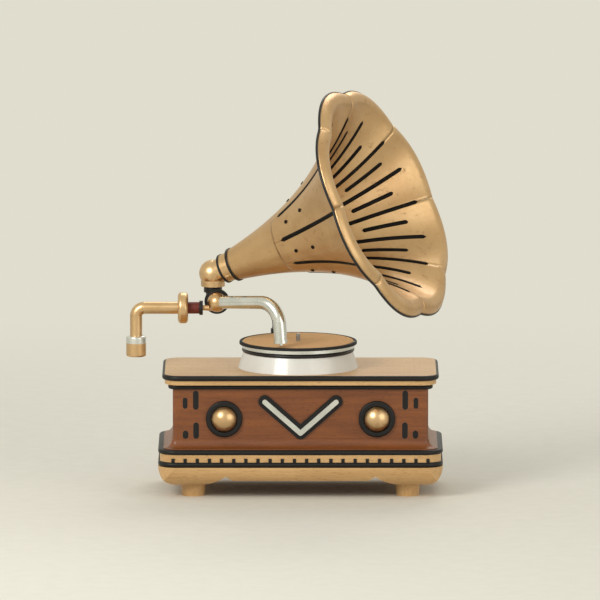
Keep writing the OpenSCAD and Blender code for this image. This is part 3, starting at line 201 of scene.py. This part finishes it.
@dataclass(frozen=True)
class Timber(Finish):
    """Planed and varnished hardwood: long wavering rings, short dark pores, and lighter edges that are part
    worn by rubbing and part painted edge highlight.
    """

    pore: str = "#5B3A1C"
    # Lighter colour at the edges: part wear from rubbing, part painted edge highlight.
    rubbed_and_highlight: str = "#E0C08E"
    grain: Grain = Grain.ACROSS
    ring_mm: float = 5.0
    ring_share: float = 0.5
    figure_mm: tuple[float, float] = (150.0, 24.0)
    figure_share: float = 0.45
    pore_mm: float = 0.8
    pore_long_mm: float = 9.0
    pore_share: float = 0.55
    pore_depth_mm: float = 0.25
    pore_dull: float = 0.16
    rub_and_highlight_mm: float = 1.4
    rub_and_highlight_share: float = 0.5
    varnish: float = 0.35
    shine: float = 0.4

    def title(self) -> str:
        """Name of the material, with the direction of the grain."""
        return f"{self.name}_{self.grain.name.lower()}"

    def lengths(self, along: float, over: float) -> tuple[float, float, float]:
        """Size of a pattern that runs with the grain.

        Args:
            along: its length with the grain, in millimetres.
            over: its width, in millimetres.

        Returns:
            Its size along X, Y and Z.
        """
        return tuple(along if axis == self.grain.value else over for axis in range(3))

    def grow(self, tree: bpy.types.NodeTree, shader: bpy.types.Node, place: bpy.types.NodeSocket) -> None:
        """Rings, figure and pores under a thin varnish, lighter at the edges from wear and from a painted edge
        highlight.
        """
        long_mm, wide_mm = self.figure_mm
        figure = pattern(tree, place, self.lengths(long_mm, wide_mm), 0.35, 0.65, 3, 0.8)
        rings = pattern(tree, place, self.lengths(long_mm, self.ring_mm), 0.36, 0.64, 3, 0.5)
        pores = pattern(tree, place, self.lengths(self.pore_long_mm, self.pore_mm), 0.6, 0.7, 2)
        ringed = add(tree, "ShaderNodeMath", {"operation": "MULTIPLY", 1: self.ring_share}, {0: rings})
        toned = add(tree, "ShaderNodeMath", {"operation": "MULTIPLY_ADD", 1: self.figure_share},
                    {0: figure, 2: ringed.outputs[0]})
        wood = add(tree, "ShaderNodeMix", {"data_type": "RGBA", 6: linear(self.colour), 7: linear(self.shade)},
                   {0: toned.outputs[0]})
        pored = lay_over(tree, wood.outputs[2], self.pore, pores, self.pore_share)
        # Lighter edges: wear from rubbing together with a painted edge highlight.
        rubbed_and_highlight = lay_over(tree, pored, self.rubbed_and_highlight, edges(tree, self.rub_and_highlight_mm, 0.2), self.rub_and_highlight_share)
        tree.links.new(rubbed_and_highlight, shader.inputs["Base Color"])
        gloss = add(tree, "ShaderNodeMath", {"operation": "MULTIPLY_ADD", 1: self.pore_dull, 2: self.rough},
                    {0: pores})
        tree.links.new(gloss.outputs[0], shader.inputs["Roughness"])
        shader.inputs["IOR"].default_value = 1.5
        shader.inputs["Specular IOR Level"].default_value = self.shine
        shader.inputs["Coat Weight"].default_value = self.varnish
        shader.inputs["Coat Roughness"].default_value = 0.22
        depth = add(tree, "ShaderNodeBump", {"invert": True, "Strength": 0.35,
                                             "Distance": self.pore_depth_mm * MM}, {"Height": pores})
        tree.links.new(depth.outputs[0], shader.inputs["Normal"])


@dataclass(frozen=True)
class Metal(Finish):
    """Worked metal: the lay of its polishing, cloudy lacquer, and stains where it was handled."""

    stain: str = "#6B4A22"
    stain_share: float = 0.25
    stain_mm: float = 9.0
    stain_dull: float = 0.2
    cloud_mm: float = 38.0
    lay_mm: tuple[float, float, float] = (14.0, 14.0, 0.8)
    lay_depth_mm: float = 0.02
    lay_dull: float = 0.1
    lacquer: float = 0.0

    def grow(self, tree: bpy.types.NodeTree, shader: bpy.types.Node, place: bpy.types.NodeSocket) -> None:
        """Fine polishing lines, clouds of tone and a few stains."""
        cloud = pattern(tree, place, (self.cloud_mm,) * 3, 0.32, 0.68, 4, 0.4)
        lines = pattern(tree, place, self.lay_mm, 0.3, 0.7, 5)
        stains = pattern(tree, place, (self.stain_mm,) * 3, 0.6, 0.74, 6, 0.6)
        tone = add(tree, "ShaderNodeMix", {"data_type": "RGBA", 6: linear(self.colour), 7: linear(self.shade)},
                   {0: cloud})
        spotted = lay_over(tree, tone.outputs[2], self.stain, stains, self.stain_share)
        tree.links.new(spotted, shader.inputs["Base Color"])
        shader.inputs["Metallic"].default_value = 1.0
        shader.inputs["Coat Weight"].default_value = self.lacquer
        shader.inputs["Coat Roughness"].default_value = 0.12
        gloss = add(tree, "ShaderNodeMath", {"operation": "MULTIPLY_ADD", 1: self.lay_dull,
                                             2: self.rough - self.lay_dull / 2}, {0: lines})
        dull = add(tree, "ShaderNodeMath", {"operation": "MULTIPLY_ADD", 1: self.stain_dull},
                   {0: stains, 2: gloss.outputs[0]})
        tree.links.new(dull.outputs[0], shader.inputs["Roughness"])
        depth = add(tree, "ShaderNodeBump", {"Strength": 0.5, "Distance": self.lay_depth_mm * MM},
                    {"Height": lines})
        tree.links.new(depth.outputs[0], shader.inputs["Normal"])


@dataclass(frozen=True)
class Enamel(Finish):
    """Stoved enamel on metal: a glossy, slightly rippled coat, chipped along its edges."""

    bare: str = "#4A4642"
    cloud_mm: float = 55.0
    dust: float = 0.12
    ripple_mm: float = 3.0
    ripple_depth_mm: float = 0.08
    gloss_coat: float = 0.5
    shine: float = 0.5
    chip_mm: float = 4.0
    chip_reach_mm: float = 0.9
    chip_share: float = 0.8

    def grow(self, tree: bpy.types.NodeTree, shader: bpy.types.Node, place: bpy.types.NodeSocket) -> None:
        """A rippled coat with dust in its gloss and chips at its edges."""
        cloud = pattern(tree, place, (self.cloud_mm,) * 3, 0.3, 0.7, 3, 0.3)
        ripple = pattern(tree, place, (self.ripple_mm,) * 3, 0.2, 0.8, 2)
        chips = pattern(tree, place, (self.chip_mm,) * 3, 0.56, 0.62, 3)
        worn = add(tree, "ShaderNodeMath", {"operation": "MULTIPLY"},
                   {0: edges(tree, self.chip_reach_mm, 0.3), 1: chips})
        tone = add(tree, "ShaderNodeMix", {"data_type": "RGBA", 6: linear(self.colour), 7: linear(self.shade)},
                   {0: cloud})
        chipped = lay_over(tree, tone.outputs[2], self.bare, worn.outputs[0], self.chip_share)
        tree.links.new(chipped, shader.inputs["Base Color"])
        dusty = add(tree, "ShaderNodeMath", {"operation": "MULTIPLY_ADD", 1: self.dust, 2: self.rough},
                    {0: cloud})
        tree.links.new(dusty.outputs[0], shader.inputs["Roughness"])
        shader.inputs["IOR"].default_value = 1.5
        shader.inputs["Specular IOR Level"].default_value = self.shine
        shader.inputs["Coat Weight"].default_value = self.gloss_coat
        shader.inputs["Coat Roughness"].default_value = 0.1
        depth = add(tree, "ShaderNodeBump", {"Strength": 0.3, "Distance": self.ripple_depth_mm * MM},
                    {"Height": ripple})
        tree.links.new(depth.outputs[0], shader.inputs["Normal"])


@dataclass(frozen=True)
class Fibrous(Finish):
    """Pressed or moulded matter, such as wool felt, red fibre or rubber: specks and a matt, grained face."""

    speck: str = "#8E6C3F"
    speck_mm: float = 0.9
    speck_share: float = 0.5
    speck_dull: float = 0.1
    cloud_mm: float = 5.0
    relief_mm: float = 0.25
    nap: float = 0.0
    shine: float = 0.35

    def grow(self, tree: bpy.types.NodeTree, shader: bpy.types.Node, place: bpy.types.NodeSocket) -> None:
        """Clouds of tone, fine specks and a grained relief."""
        cloud = pattern(tree, place, (self.cloud_mm,) * 3, 0.3, 0.7, 5, 1.2)
        specks = pattern(tree, place, (self.speck_mm,) * 3, 0.5, 0.66, 3)
        tone = add(tree, "ShaderNodeMix", {"data_type": "RGBA", 6: linear(self.colour), 7: linear(self.shade)},
                   {0: cloud})
        flecked = lay_over(tree, tone.outputs[2], self.speck, specks, self.speck_share)
        tree.links.new(flecked, shader.inputs["Base Color"])
        grainy = add(tree, "ShaderNodeMath", {"operation": "MULTIPLY_ADD", 1: self.speck_dull, 2: self.rough},
                     {0: specks})
        tree.links.new(grainy.outputs[0], shader.inputs["Roughness"])
        shader.inputs["IOR"].default_value = 1.48
        shader.inputs["Specular IOR Level"].default_value = self.shine
        shader.inputs["Sheen Weight"].default_value = self.nap
        shader.inputs["Sheen Roughness"].default_value = 0.5
        depth = add(tree, "ShaderNodeBump", {"Strength": 0.5, "Distance": self.relief_mm * MM},
                    {"Height": specks})
        tree.links.new(depth.outputs[0], shader.inputs["Normal"])


# Golden oak, planed and varnished: open pores run through pale, streaky wood.
OAK = Timber("varnished_oak", "#D1A972", "#BD935E", 0.42, varnish=0.15)
# Oiled walnut: brown heartwood with darker rings under a thin varnish.
WALNUT = Timber("varnished_walnut", "#864C22", "#6B3A18", 0.4, pore="#351D0F", rubbed_and_highlight="#A06C42", ring_mm=6,
                varnish=0.2)
# Pear stained black: close grain that only shows in the gloss.
EBONY = Timber("ebonised_pear", "#1D1B1A", "#151413", 0.45, pore="#0E0D0D", rubbed_and_highlight="#3A3531", ring_mm=3,
               pore_mm=0.6, varnish=0.05, shine=0.25)
# Spun brass sheet in a warm lacquer: soft highlights and darker clouds.
BRASS = Metal("lacquered_brass", "#DCBA8C", "#CFAA79", 0.34, lacquer=0.25)
# Brass sheet of the bell, beaten over a form: broader clouds and a duller gloss.
BELL_BRASS = replace(BRASS, name="bell_brass", colour="#D3B081", shade="#C49E70", rough=0.44, cloud_mm=60.0,
                     lay_mm=(6.0, 6.0, 6.0), lay_depth_mm=0.06)
# Nickel plate on a drawn tube: cool, bright and slightly scratched along its length.
NICKEL = Metal("nickel_plate", "#E6E7E2", "#D2D4CE", 0.24, stain="#8D8A80", stain_share=0.15,
               lay_mm=(9.0, 9.0, 0.7))
# Ground steel of the motor: grey with a fine lay and spots of old oil.
STEEL = Metal("ground_steel", "#AEB0B0", "#8F9294", 0.36, stain="#5E5242", stain_share=0.35)
# Old solder and rivets, blackened with age.
SOLDER = Metal("blackened_solder", "#262422", "#1D1B1A", 0.55, stain="#6B6257", stain_share=0.2,
               lay_mm=(2.0, 2.0, 2.0))
# Black stoved enamel on cast iron.
BLACK_ENAMEL = Enamel("black_enamel", "#1B1A19", "#151414", 0.32, bare="#5D574F", gloss_coat=0.15, shine=0.3)
# White stoved enamel on a spun steel shroud.
WHITE_ENAMEL = Enamel("white_enamel", "#DEDCD2", "#D3D1C7", 0.28, bare="#7D7A72")
# Pressed wool felt: a matt nap of short crossed fibres.
FELT = Fibrous("wool_felt", "#CFA164", "#BD9056", 0.95, speck="#E4BF88", speck_mm=0.9, nap=0.08, shine=0.2)
# Dark red vulcanised fibre: smooth, dense and faintly mottled.
RED_FIBRE = Fibrous("vulcanised_fibre", "#6E2C20", "#5A2319", 0.42, speck="#8A4434", speck_mm=0.6,
                    speck_share=0.35, relief_mm=0.05)
# Black moulded rubber: matt with fine mould grain.
RUBBER = Fibrous("moulded_rubber", "#1C1B1A", "#161515", 0.66, speck="#2B2927", speck_mm=0.8,
                 speck_share=0.4, relief_mm=0.1)


def piece(name: str, bm: bmesh.types.BMesh, finish: Finish, body: str,
          smooth_deg: float = 40.0, closed: bool = True) -> bpy.types.Object:
    """Turn a mesh under construction into a finished piece that rides on a body.

    Args:
        name: the piece's name.
        bm: its mesh, in metres and in place, which is freed.
        finish: its finish.
        body: the body it moves with.
        smooth_deg: the turn between two faces above which their edge stays sharp.
        closed: whether the mesh is closed; an open one keeps the side its faces are laid to.

    Returns:
        The piece's object.
    """
    bmesh.ops.remove_doubles(bm, verts=bm.verts, dist=WELD)
    if closed:
        bmesh.ops.recalc_face_normals(bm, faces=bm.faces)
    for face in bm.faces:
        face.smooth = True
    mesh = bpy.data.meshes.new(name)
    bm.to_mesh(mesh)
    bm.free()
    mesh.set_sharp_from_angle(angle=math.radians(smooth_deg))
    mesh.materials.append(finish.material())
    made = bpy.data.objects.new(name, mesh)
    bpy.context.scene.collection.objects.link(made)
    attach(made, body)
    LOG.info("%s: %d faces, on %s", name, len(mesh.polygons), body)
    return made


def turned(bm: bmesh.types.BMesh, outline: list[tuple[float, float]], steps: int, place: Matrix,
           angle: float = math.tau, start: float = 0.0) -> list[bmesh.types.BMVert]:
    """Spin an outline round the Z axis, as on a lathe, and put it in place.

    Args:
        bm: the mesh that takes it.
        outline: radius and height of each point, in millimetres.
        steps: the steps of the turn.
        place: the matrix that takes it from the lathe to its place, in metres.
        angle: the turn, a full one unless it is given.
        start: the angle where the turn starts, from +X.

    Returns:
        The new vertices.
    """
    before = set(bm.verts)
    line = [bm.verts.new((outline[0][0] * MM, 0, outline[0][1] * MM))]
    for radius, height in outline[1:]:
        out = bmesh.ops.extrude_vert_indiv(bm, verts=[line[-1]])
        out["verts"][0].co = (radius * MM, 0, height * MM)
        line.append(out["verts"][0])
    bmesh.ops.rotate(bm, verts=line, cent=(0, 0, 0), matrix=Matrix.Rotation(start, 3, "Z"))
    geom = line + [e for e in bm.edges if e.verts[0] in line and e.verts[1] in line]
    bmesh.ops.spin(bm, geom=geom, cent=(0, 0, 0), axis=(0, 0, 1), dvec=(0, 0, 0), angle=angle, steps=steps,
                   use_merge=angle == math.tau)
    bmesh.ops.remove_doubles(bm, verts=[v for v in bm.verts if v not in before], dist=WELD)
    made = [v for v in bm.verts if v not in before]
    bmesh.ops.transform(bm, matrix=place, verts=made)
    return made


@dataclass
class Assembly:
    """A sub-assembly: dresses the CAD nodes that keep their shape."""

    finishes: dict[str, Finish] = field(default_factory=dict)

    def dress(self) -> None:
        """Give each node its finish."""
        for node, finish in self.finishes.items():
            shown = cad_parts[node]
            for slot in shown.material_slots:
                slot.material = finish.material()
            if not shown.material_slots:
                shown.data.materials.append(finish.material())
            LOG.info("%s: %s", node, finish.title())

    def build(self) -> None:
        """Make the assembly's new pieces."""


@dataclass
class Case(Assembly):
    """The wooden case on its plinth and feet, with its mouldings, inlays and chevron."""

    finishes: dict[str, Finish] = field(default_factory=lambda: {
        "feet": replace(OAK, grain=Grain.UP),
        "plinth": OAK,
        "base_beads": EBONY,
        "dentil_band": OAK,
        # The black dentils show in the slots of the dentil band: dark wood set where the slots' shade falls, as
        # painted shade.
        "dentils": EBONY,
        "cove_moulding": WALNUT,
        "front_panel": WALNUT,
        "back_panel": WALNUT,
        "side_panels": replace(WALNUT, grain=Grain.DEPTH),
        "bottom_board": WALNUT,
        "corner_blocks": replace(OAK, grain=Grain.UP),
        "top_board": OAK,
        "top_beads": EBONY,
        "inlays": replace(EBONY, grain=Grain.UP),
        "chevron_backing": EBONY,
        "chevron_bar": NICKEL,
        "knob_bezels": EBONY,
    })


@dataclass
class Controls(Assembly):
    """The two front knobs and the levers that they work."""

    finishes: dict[str, Finish] = field(default_factory=lambda: {
        "brake_knob": BRASS,
        "speed_knob": BRASS,
        "brake_lever": STEEL,
        "speed_lever": STEEL,
    })


@dataclass
class Motor(Assembly):
    """The spring motor under the board, its governor and its winding crank."""

    finishes: dict[str, Finish] = field(default_factory=lambda: {
        "motor_plates": STEEL,
        "motor_pillars": STEEL,
        "fixing_screws": STEEL,
        "plate_bushes": BRASS,
        "intermediate_gears": BRASS,
        "spring_barrel": STEEL,
        "mainspring": STEEL,
        "winding_arbor": STEEL,
        "governor": BRASS,
        "crank_shaft": STEEL,
        "crank_bearing": BRASS,
        "crank_arm": STEEL,
        "crank_grip": replace(OAK, grain=Grain.DEPTH),
    })


@dataclass
class Turntable(Assembly):
    """The enamelled shroud and the platter that turns in it on its spindle."""

    hole_r: float = 4.6
    edge_r: float = 1.0
    edge_share: float = 0.4
    nap_mm: float = 0.12
    wave_mm: float = 14.0
    rings: int = 14
    steps: int = 160
    finishes: dict[str, Finish] = field(default_factory=lambda: {
        "shroud": WHITE_ENAMEL,
        "shroud_bead": BLACK_ENAMEL,
        "platter": NICKEL,
        "platter_ring": RUBBER,
        "spindle": STEEL,
    })

    def build(self) -> None:
        """The felt: a disc with rolled edges, whose top rises and falls a little, as pressed wool does."""
        low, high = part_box("felt")
        radius = (high.x - low.x) / 2 / MM
        centre = (low + high) / 2
        thick = (high.z - low.z) / MM
        edge = min(self.edge_r, thick * self.edge_share)
        top = [(self.hole_r + (radius - edge - self.hole_r) * i / self.rings, thick - self.nap_mm)
               for i in range(self.rings + 1)]
        rim = [(radius - edge + edge * math.sin(a), thick - self.nap_mm - edge + edge * math.cos(a))
               for a in (math.pi / 6, math.pi / 3, math.pi / 2)]
        outline = [(self.hole_r, 0), *top, *rim, (radius, 0), (self.hole_r, 0)]
        bm = bmesh.new()
        made = turned(bm, outline, self.steps, Matrix.Translation((centre.x, centre.y, low.z)))
        for vert in made:
            if vert.co.z > low.z + thick * (1 - self.edge_share) * MM:
                vert.co.z += self.nap_mm * MM * noise.noise(vert.co / (self.wave_mm * MM))
        felt = piece("platter_felt", bm, FELT, "turntable")
        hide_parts("felt")


@dataclass
class ToneArm(Assembly):
    """The rear bracket, the gold hub and the silver gooseneck with its sound box."""

    finishes: dict[str, Finish] = field(default_factory=lambda: {
        "bracket": BLACK_ENAMEL,
        "swivel_head": BLACK_ENAMEL,
        "hub_ball": BRASS,
        "tone_arm": NICKEL,
        "sound_box": NICKEL,
        "needle": STEEL,
    })


@dataclass
class BalanceArm(Assembly):
    """The counterbalance arm: a red fibre sleeve, a brass disc, a bent rod and its weight."""

    finishes: dict[str, Finish] = field(default_factory=lambda: {
        "sleeve_ring": BLACK_ENAMEL,
        "fibre_sleeve": RED_FIBRE,
        "arm_collar": BRASS,
        "balance_rod": BRASS,
        "balance_weight": BRASS,
        "weight_cap": NICKEL,
    })


@dataclass
class Horn(Assembly):
    """The petalled horn on its brass elbow. All sizes are in millimetres."""

    elbow: tuple[float, float, float] = (-149.0, 28.0, 367.0)
    tilt: float = 23.5
    yaw: float = 23.0
    length: float = 345.0
    throat_r: float = 21.0
    bell_r: float = 180.0
    curve: float = 2.15
    petals: int = 8
    scallop: float = 11.0
    lip_r: float = 18.0
    lip_end: float = 150.0
    seam_at: float = 5.0
    wall: float = 0.9
    bell_start: float = 150.0
    seam_gap: float = 0.035
    rim_r: float = 2.0
    rim_gap: float = 0.1
    rim_sides: int = 12
    stroke_half: float = 3.6
    stroke_h: float = 1.0
    stroke_low: float = 0.2
    stroke_wall: float = 0.6
    stroke_cells: tuple[int, int] = (6, 28)
    seam_run: tuple[float, float] = (166.0, 338.0)
    crease_runs: tuple[tuple[float, float], ...] = (
        (226.0, 334.0), (246.0, 312.0), (222.0, 330.0), (240.0, 306.0))
    flare_rows: int = 45
    lip_rows: int = 14
    petal_steps: int = 24
    finishes: dict[str, Finish] = field(default_factory=lambda: {
        "horn_elbow": BRASS,
        "horn_bands": BLACK_ENAMEL,
        "horn_collar": BRASS,
        "horn_throat": BELL_BRASS,
        "horn_rivets": SOLDER,
    })

    def place(self) -> Matrix:
        """The horn's own frame: its axis leaves the elbow, tilted up and turned to the front."""
        turn = (Matrix.Rotation(math.radians(-self.yaw), 4, "Z")
                @ Matrix.Rotation(math.radians(90 - self.tilt), 4, "Y"))
        return Matrix.Translation(Vector(self.elbow) * MM) @ turn

    def flare(self, t: float) -> tuple[float, float]:
        """Radius and slope of the horn at a distance along its axis.

        Args:
            t: the distance from the elbow, in millimetres.

        Returns:
            The radius, and the slope's angle from the axis in radians.
        """
        grown = math.exp(self.curve * t / self.length)
        full = math.exp(self.curve) - 1
        span = self.bell_r - self.throat_r
        return (self.throat_r + span * (grown - 1) / full,
                math.atan(span * self.curve / self.length * grown / full))

    def rows(self) -> list[tuple[float, float, float]]:
        """Rows from the throat to the end of the lip: distance along the axis, radius and slope."""
        found = []
        for i in range(self.flare_rows + 1):
            t = self.bell_start + (self.length - self.bell_start) * i / self.flare_rows
            found.append((t, *self.flare(t)))
        first = found[-1][2]
        last = math.radians(self.lip_end)
        for i in range(1, self.lip_rows + 1):
            slope = first + (last - first) * i / self.lip_rows
            found.append((self.length - self.lip_r * (math.sin(first) - math.sin(slope)),
                          self.bell_r + self.lip_r * (math.cos(first) - math.cos(slope)), slope))
        return found

    def rise(self, angle: float) -> float:
        """How far a petal swells between its seams, 0 at a seam and 1 halfway.

        Args:
            angle: the angle round the axis, in degrees.

        Returns:
            The share of the swelling.
        """
        part = (angle - self.seam_at) / (360 / self.petals)
        return math.sin(math.pi * (part - math.floor(part)))

    def scallop_in(self, verts: list[bmesh.types.BMVert]) -> None:
        """Draw a turned part of the bell in between the petals' middles, in the horn's own frame.

        Args:
            verts: the vertices to move.
        """
        for vert in verts:
            radius = math.hypot(vert.co.x, vert.co.y)
            along = (vert.co.z / MM - self.bell_start) / (self.length - self.bell_start)
            share = along ** 2 if radius < self.bell_r * MM else 1.0
            angle = 180 - math.degrees(math.atan2(vert.co.y, vert.co.x))
            drawn = 1 - self.scallop * MM * share * (1 - self.rise(angle)) / radius
            vert.co.x *= drawn
            vert.co.y *= drawn

    def petals_mesh(self) -> bmesh.types.BMesh:
        """Eight petals: the bell's outline is spun over each petal and drawn in at its seams."""
        outline = [(radius, t) for t, radius, _ in self.rows()]
        wide = 360 / self.petals - 2 * self.seam_gap
        bm = bmesh.new()
        for k in range(self.petals):
            last = self.seam_at + k * 360 / self.petals + self.seam_gap + wide
            made = turned(bm, outline, self.petal_steps, Matrix.Identity(4), angle=math.radians(wide),
                          start=math.radians(180 - last))
            self.scallop_in(made)
        bmesh.ops.reverse_faces(bm, faces=bm.faces)
        return bm

    def rim_mesh(self) -> bmesh.types.BMesh:
        """The wire in the lip's edge: a round section spun once and drawn in at the seams."""
        t, radius, slope = self.rows()[-1]
        past = self.rim_r + self.rim_gap
        middle = (radius + past * math.sin(slope), t + past * math.cos(slope))
        ring = [(middle[0] + self.rim_r * math.cos(a), middle[1] + self.rim_r * math.sin(a))
                for a in (math.tau * i / self.rim_sides for i in range(self.rim_sides + 1))]
        bm = bmesh.new()
        self.scallop_in(turned(bm, ring, self.petals * self.petal_steps, Matrix.Identity(4)))
        return bm

    def on_bell(self, t: float, angle: float, out: float) -> Vector:
        """Point on the bell, before the lip.

        Args:
            t: the distance along the axis, in millimetres.
            angle: the angle round the axis, in degrees.
            out: the offset outwards from the outer face, in millimetres.

        Returns:
            The point in the horn's own frame, in metres.
        """
        radius, slope = self.flare(t)
        share = max(0.0, (t - self.bell_start) / (self.length - self.bell_start)) ** 2
        radius += out * math.cos(slope) - self.scallop * share * (1 - self.rise(angle))
        turn = math.radians(angle)
        return Vector((-radius * math.cos(turn), radius * math.sin(turn), t - out * math.sin(slope))) * MM

    def stroke(self, bm: bmesh.types.BMesh, angle: float, run: tuple[float, float], inside: bool) -> None:
        """A round-ended bead of solder along the bell: a grid laid on it and domed across.

        Args:
            bm: the mesh that takes it.
            angle: its angle round the axis, in degrees.
            run: where it starts and ends along the axis, in millimetres.
            inside: whether it lies in the bell or on it.
        """
        across, lengthways = self.stroke_cells
        verts = bmesh.ops.create_grid(bm, x_segments=across, y_segments=lengthways, size=1.0)["verts"]
        first, last = run
        for vert in verts:
            side, along = vert.co.x, (vert.co.y + 1) / 2
            t = first + (last - first) * along
            left = min(t - first, last - t) / self.stroke_half
            half = self.stroke_half * (math.sqrt(max(0.0, 1 - (1 - left) ** 2)) if left < 1 else 1.0)
            rise = self.stroke_low + self.stroke_h * (1 - side * side) * half / self.stroke_half
            radius = self.flare(t)[0]
            out = -self.wall - rise if inside else rise
            vert.co = self.on_bell(t, angle + math.degrees(side * half / radius), out)
        if not inside:
            bmesh.ops.reverse_faces(bm, faces=list({face for vert in verts for face in vert.link_faces}))

    def strokes_mesh(self) -> bmesh.types.BMesh:
        """Long beads on the seams outside; inside, a long bead at each seam and shorter ones between."""
        bm = bmesh.new()
        wide = 360 / self.petals
        for k in range(self.petals):
            seam = self.seam_at + k * wide
            self.stroke(bm, seam, self.seam_run, False)
            for part, run in enumerate(self.crease_runs):
                self.stroke(bm, seam + part * wide / len(self.crease_runs), run, True)
        return bm

    def build(self) -> None:
        """The bell of eight petals, its wired rim and its beads of solder."""
        thicknesses = {"bell_petals": self.wall, "bell_beads": self.stroke_wall}
        for name, bm, finish, slot, node in (
                ("bell_petals", self.petals_mesh(), BELL_BRASS, "brass", "horn_petals"),
                ("bell_rim_wire", self.rim_mesh(), BLACK_ENAMEL, "iron", "horn_rim"),
                ("bell_beads", self.strokes_mesh(), SOLDER, "lead", "horn_seams")):
            bmesh.ops.transform(bm, matrix=self.place(), verts=bm.verts)
            made = piece(name, bm, finish, "horn", closed=name not in thicknesses)
            if name in thicknesses:
                sheet = made.modifiers.new("sheet_thickness", "SOLIDIFY")
                sheet.thickness = thicknesses[name] * MM
                sheet.offset = -1.0
            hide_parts(node)


@dataclass
class Studio:
    """The plain pale studio: floor, backdrop colour, lamps and camera. All sizes are in metres."""

    backdrop: str = "#E0DDCE"
    paper: tuple[str, str] = ("#DFDBCC", "#DAD6C7")
    paper_mm: float = 30.0
    floor_r: float = 14.0
    floor_sides: int = 96
    fade: tuple[float, float] = (0.75, 2.2)
    centre: tuple[float, float, float] = (-0.00085, 0.0, 0.325)
    elevation: float = 8.0
    distance: float = 20.0
    field_width: float = 1.02
    sensor_mm: float = 36.0
    far_end: float = 100.0
    world_level: float = 0.58
    lamps: tuple[tuple[tuple[float, float, float], float, float], ...] = (
        ((-1.7, -2.3, 1.9), 1.5, 54.0),
        ((2.2, -2.2, 1.1), 2.6, 22.0),
        ((0.4, 1.9, 2.3), 1.6, 20.0),
    )

    def world(self) -> None:
        """A pale backdrop for the camera, gloss and glass, and plain white light for the rest."""
        made = bpy.data.worlds.new("studio_world")
        bpy.context.scene.world = made
        made.use_nodes = True
        tree = made.node_tree
        tree.nodes.clear()
        path = add(tree, "ShaderNodeLightPath")
        seen = add(tree, "ShaderNodeMath", {"operation": "MAXIMUM"},
                   {0: path.outputs["Is Camera Ray"], 1: path.outputs["Is Glossy Ray"]})
        either = add(tree, "ShaderNodeMath", {"operation": "MAXIMUM"},
                     {0: seen.outputs[0], 1: path.outputs["Is Transmission Ray"]})
        light = add(tree, "ShaderNodeBackground", {"Color": (1, 1, 1, 1), "Strength": self.world_level})
        shown = add(tree, "ShaderNodeBackground", {"Color": linear(self.backdrop), "Strength": 1.0})
        mixed = add(tree, "ShaderNodeMixShader", links={0: either.outputs[0], 1: light.outputs[0],
                                                        2: shown.outputs[0]})
        add(tree, "ShaderNodeOutputWorld", links={"Surface": mixed.outputs[0]})

    def floor(self) -> None:
        """A round floor that takes the shadow near the object and fades into the backdrop."""
        bm = bmesh.new()
        bmesh.ops.create_circle(bm, cap_ends=True, segments=self.floor_sides, radius=self.floor_r)
        mesh = bpy.data.meshes.new("studio_floor")
        bm.to_mesh(mesh)
        bm.free()
        made = bpy.data.objects.new("studio_floor", mesh)
        bpy.context.scene.collection.objects.link(made)
        paper = bpy.data.materials.new("studio_paper")
        paper.use_nodes = True
        tree = paper.node_tree
        tree.nodes.clear()
        place = add(tree, "ShaderNodeTexCoord")
        far = add(tree, "ShaderNodeVectorMath", {"operation": "LENGTH"}, {0: place.outputs["Object"]})
        fade = add(tree, "ShaderNodeMapRange", {"interpolation_type": "SMOOTHSTEP", "From Min": self.fade[0],
                                                "From Max": self.fade[1]}, {"Value": far.outputs["Value"]})
        grain = pattern(tree, place.outputs["Object"], (self.paper_mm,) * 3, 0.2, 0.8, 3)
        pale, shaded = self.paper
        tone = add(tree, "ShaderNodeMix", {"data_type": "RGBA", 6: linear(pale), 7: linear(shaded)}, {0: grain})
        matt = add(tree, "ShaderNodeBsdfDiffuse", links={"Color": tone.outputs[2]})
        plain = add(tree, "ShaderNodeEmission", {"Color": linear(self.backdrop), "Strength": 1.0})
        path = add(tree, "ShaderNodeLightPath")
        shown = add(tree, "ShaderNodeMath", {"operation": "MULTIPLY"},
                    {0: fade.outputs[0], 1: path.outputs["Is Camera Ray"]})
        mixed = add(tree, "ShaderNodeMixShader", links={0: shown.outputs[0], 1: matt.outputs[0],
                                                        2: plain.outputs[0]})
        add(tree, "ShaderNodeOutputMaterial", links={"Surface": mixed.outputs[0]})
        mesh.materials.append(paper)

    def lights(self) -> None:
        """Large soft lamps: key at the left, fill at the right and one behind."""
        for number, (where, size, power) in enumerate(self.lamps):
            lamp = bpy.data.lights.new(f"softbox_{number}", "AREA")
            lamp.shape = "DISK"
            lamp.size = size
            lamp.energy = power
            made = bpy.data.objects.new(lamp.name, lamp)
            made.location = where
            aim = Vector(self.centre) - Vector(where)
            made.rotation_euler = aim.to_track_quat("-Z", "Y").to_euler()
            bpy.context.scene.collection.objects.link(made)

    def camera(self) -> None:
        """A camera with a long lens, level with the photograph's point of view."""
        lens = bpy.data.cameras.new("studio_camera")
        lens.sensor_width = self.sensor_mm
        lens.lens = self.sensor_mm * self.distance / self.field_width
        lens.clip_end = self.far_end
        made = bpy.data.objects.new("studio_camera", lens)
        up = math.radians(self.elevation)
        back = Vector((0, -math.cos(up), math.sin(up)))
        made.location = Vector(self.centre) + back * self.distance
        made.rotation_euler = (-back).to_track_quat("-Z", "Y").to_euler()
        bpy.context.scene.collection.objects.link(made)
        bpy.context.scene.camera = made

    def build(self) -> None:
        """Set up the whole studio."""
        self.camera()
        self.world()
        self.floor()
        self.lights()
        bpy.context.scene.view_settings.view_transform = "Standard"


def main() -> None:
    """Build the studio, then dress and build every sub-assembly, in order."""
    logging.basicConfig(level=logging.INFO, format="%(message)s")
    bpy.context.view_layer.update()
    Studio().build()
    for assembly in (Case(), Controls(), Motor(), Turntable(), ToneArm(), BalanceArm(), Horn()):
        LOG.info("-- %s", type(assembly).__name__)
        assembly.dress()
        assembly.build()


if __name__ == "__main__":
    main()
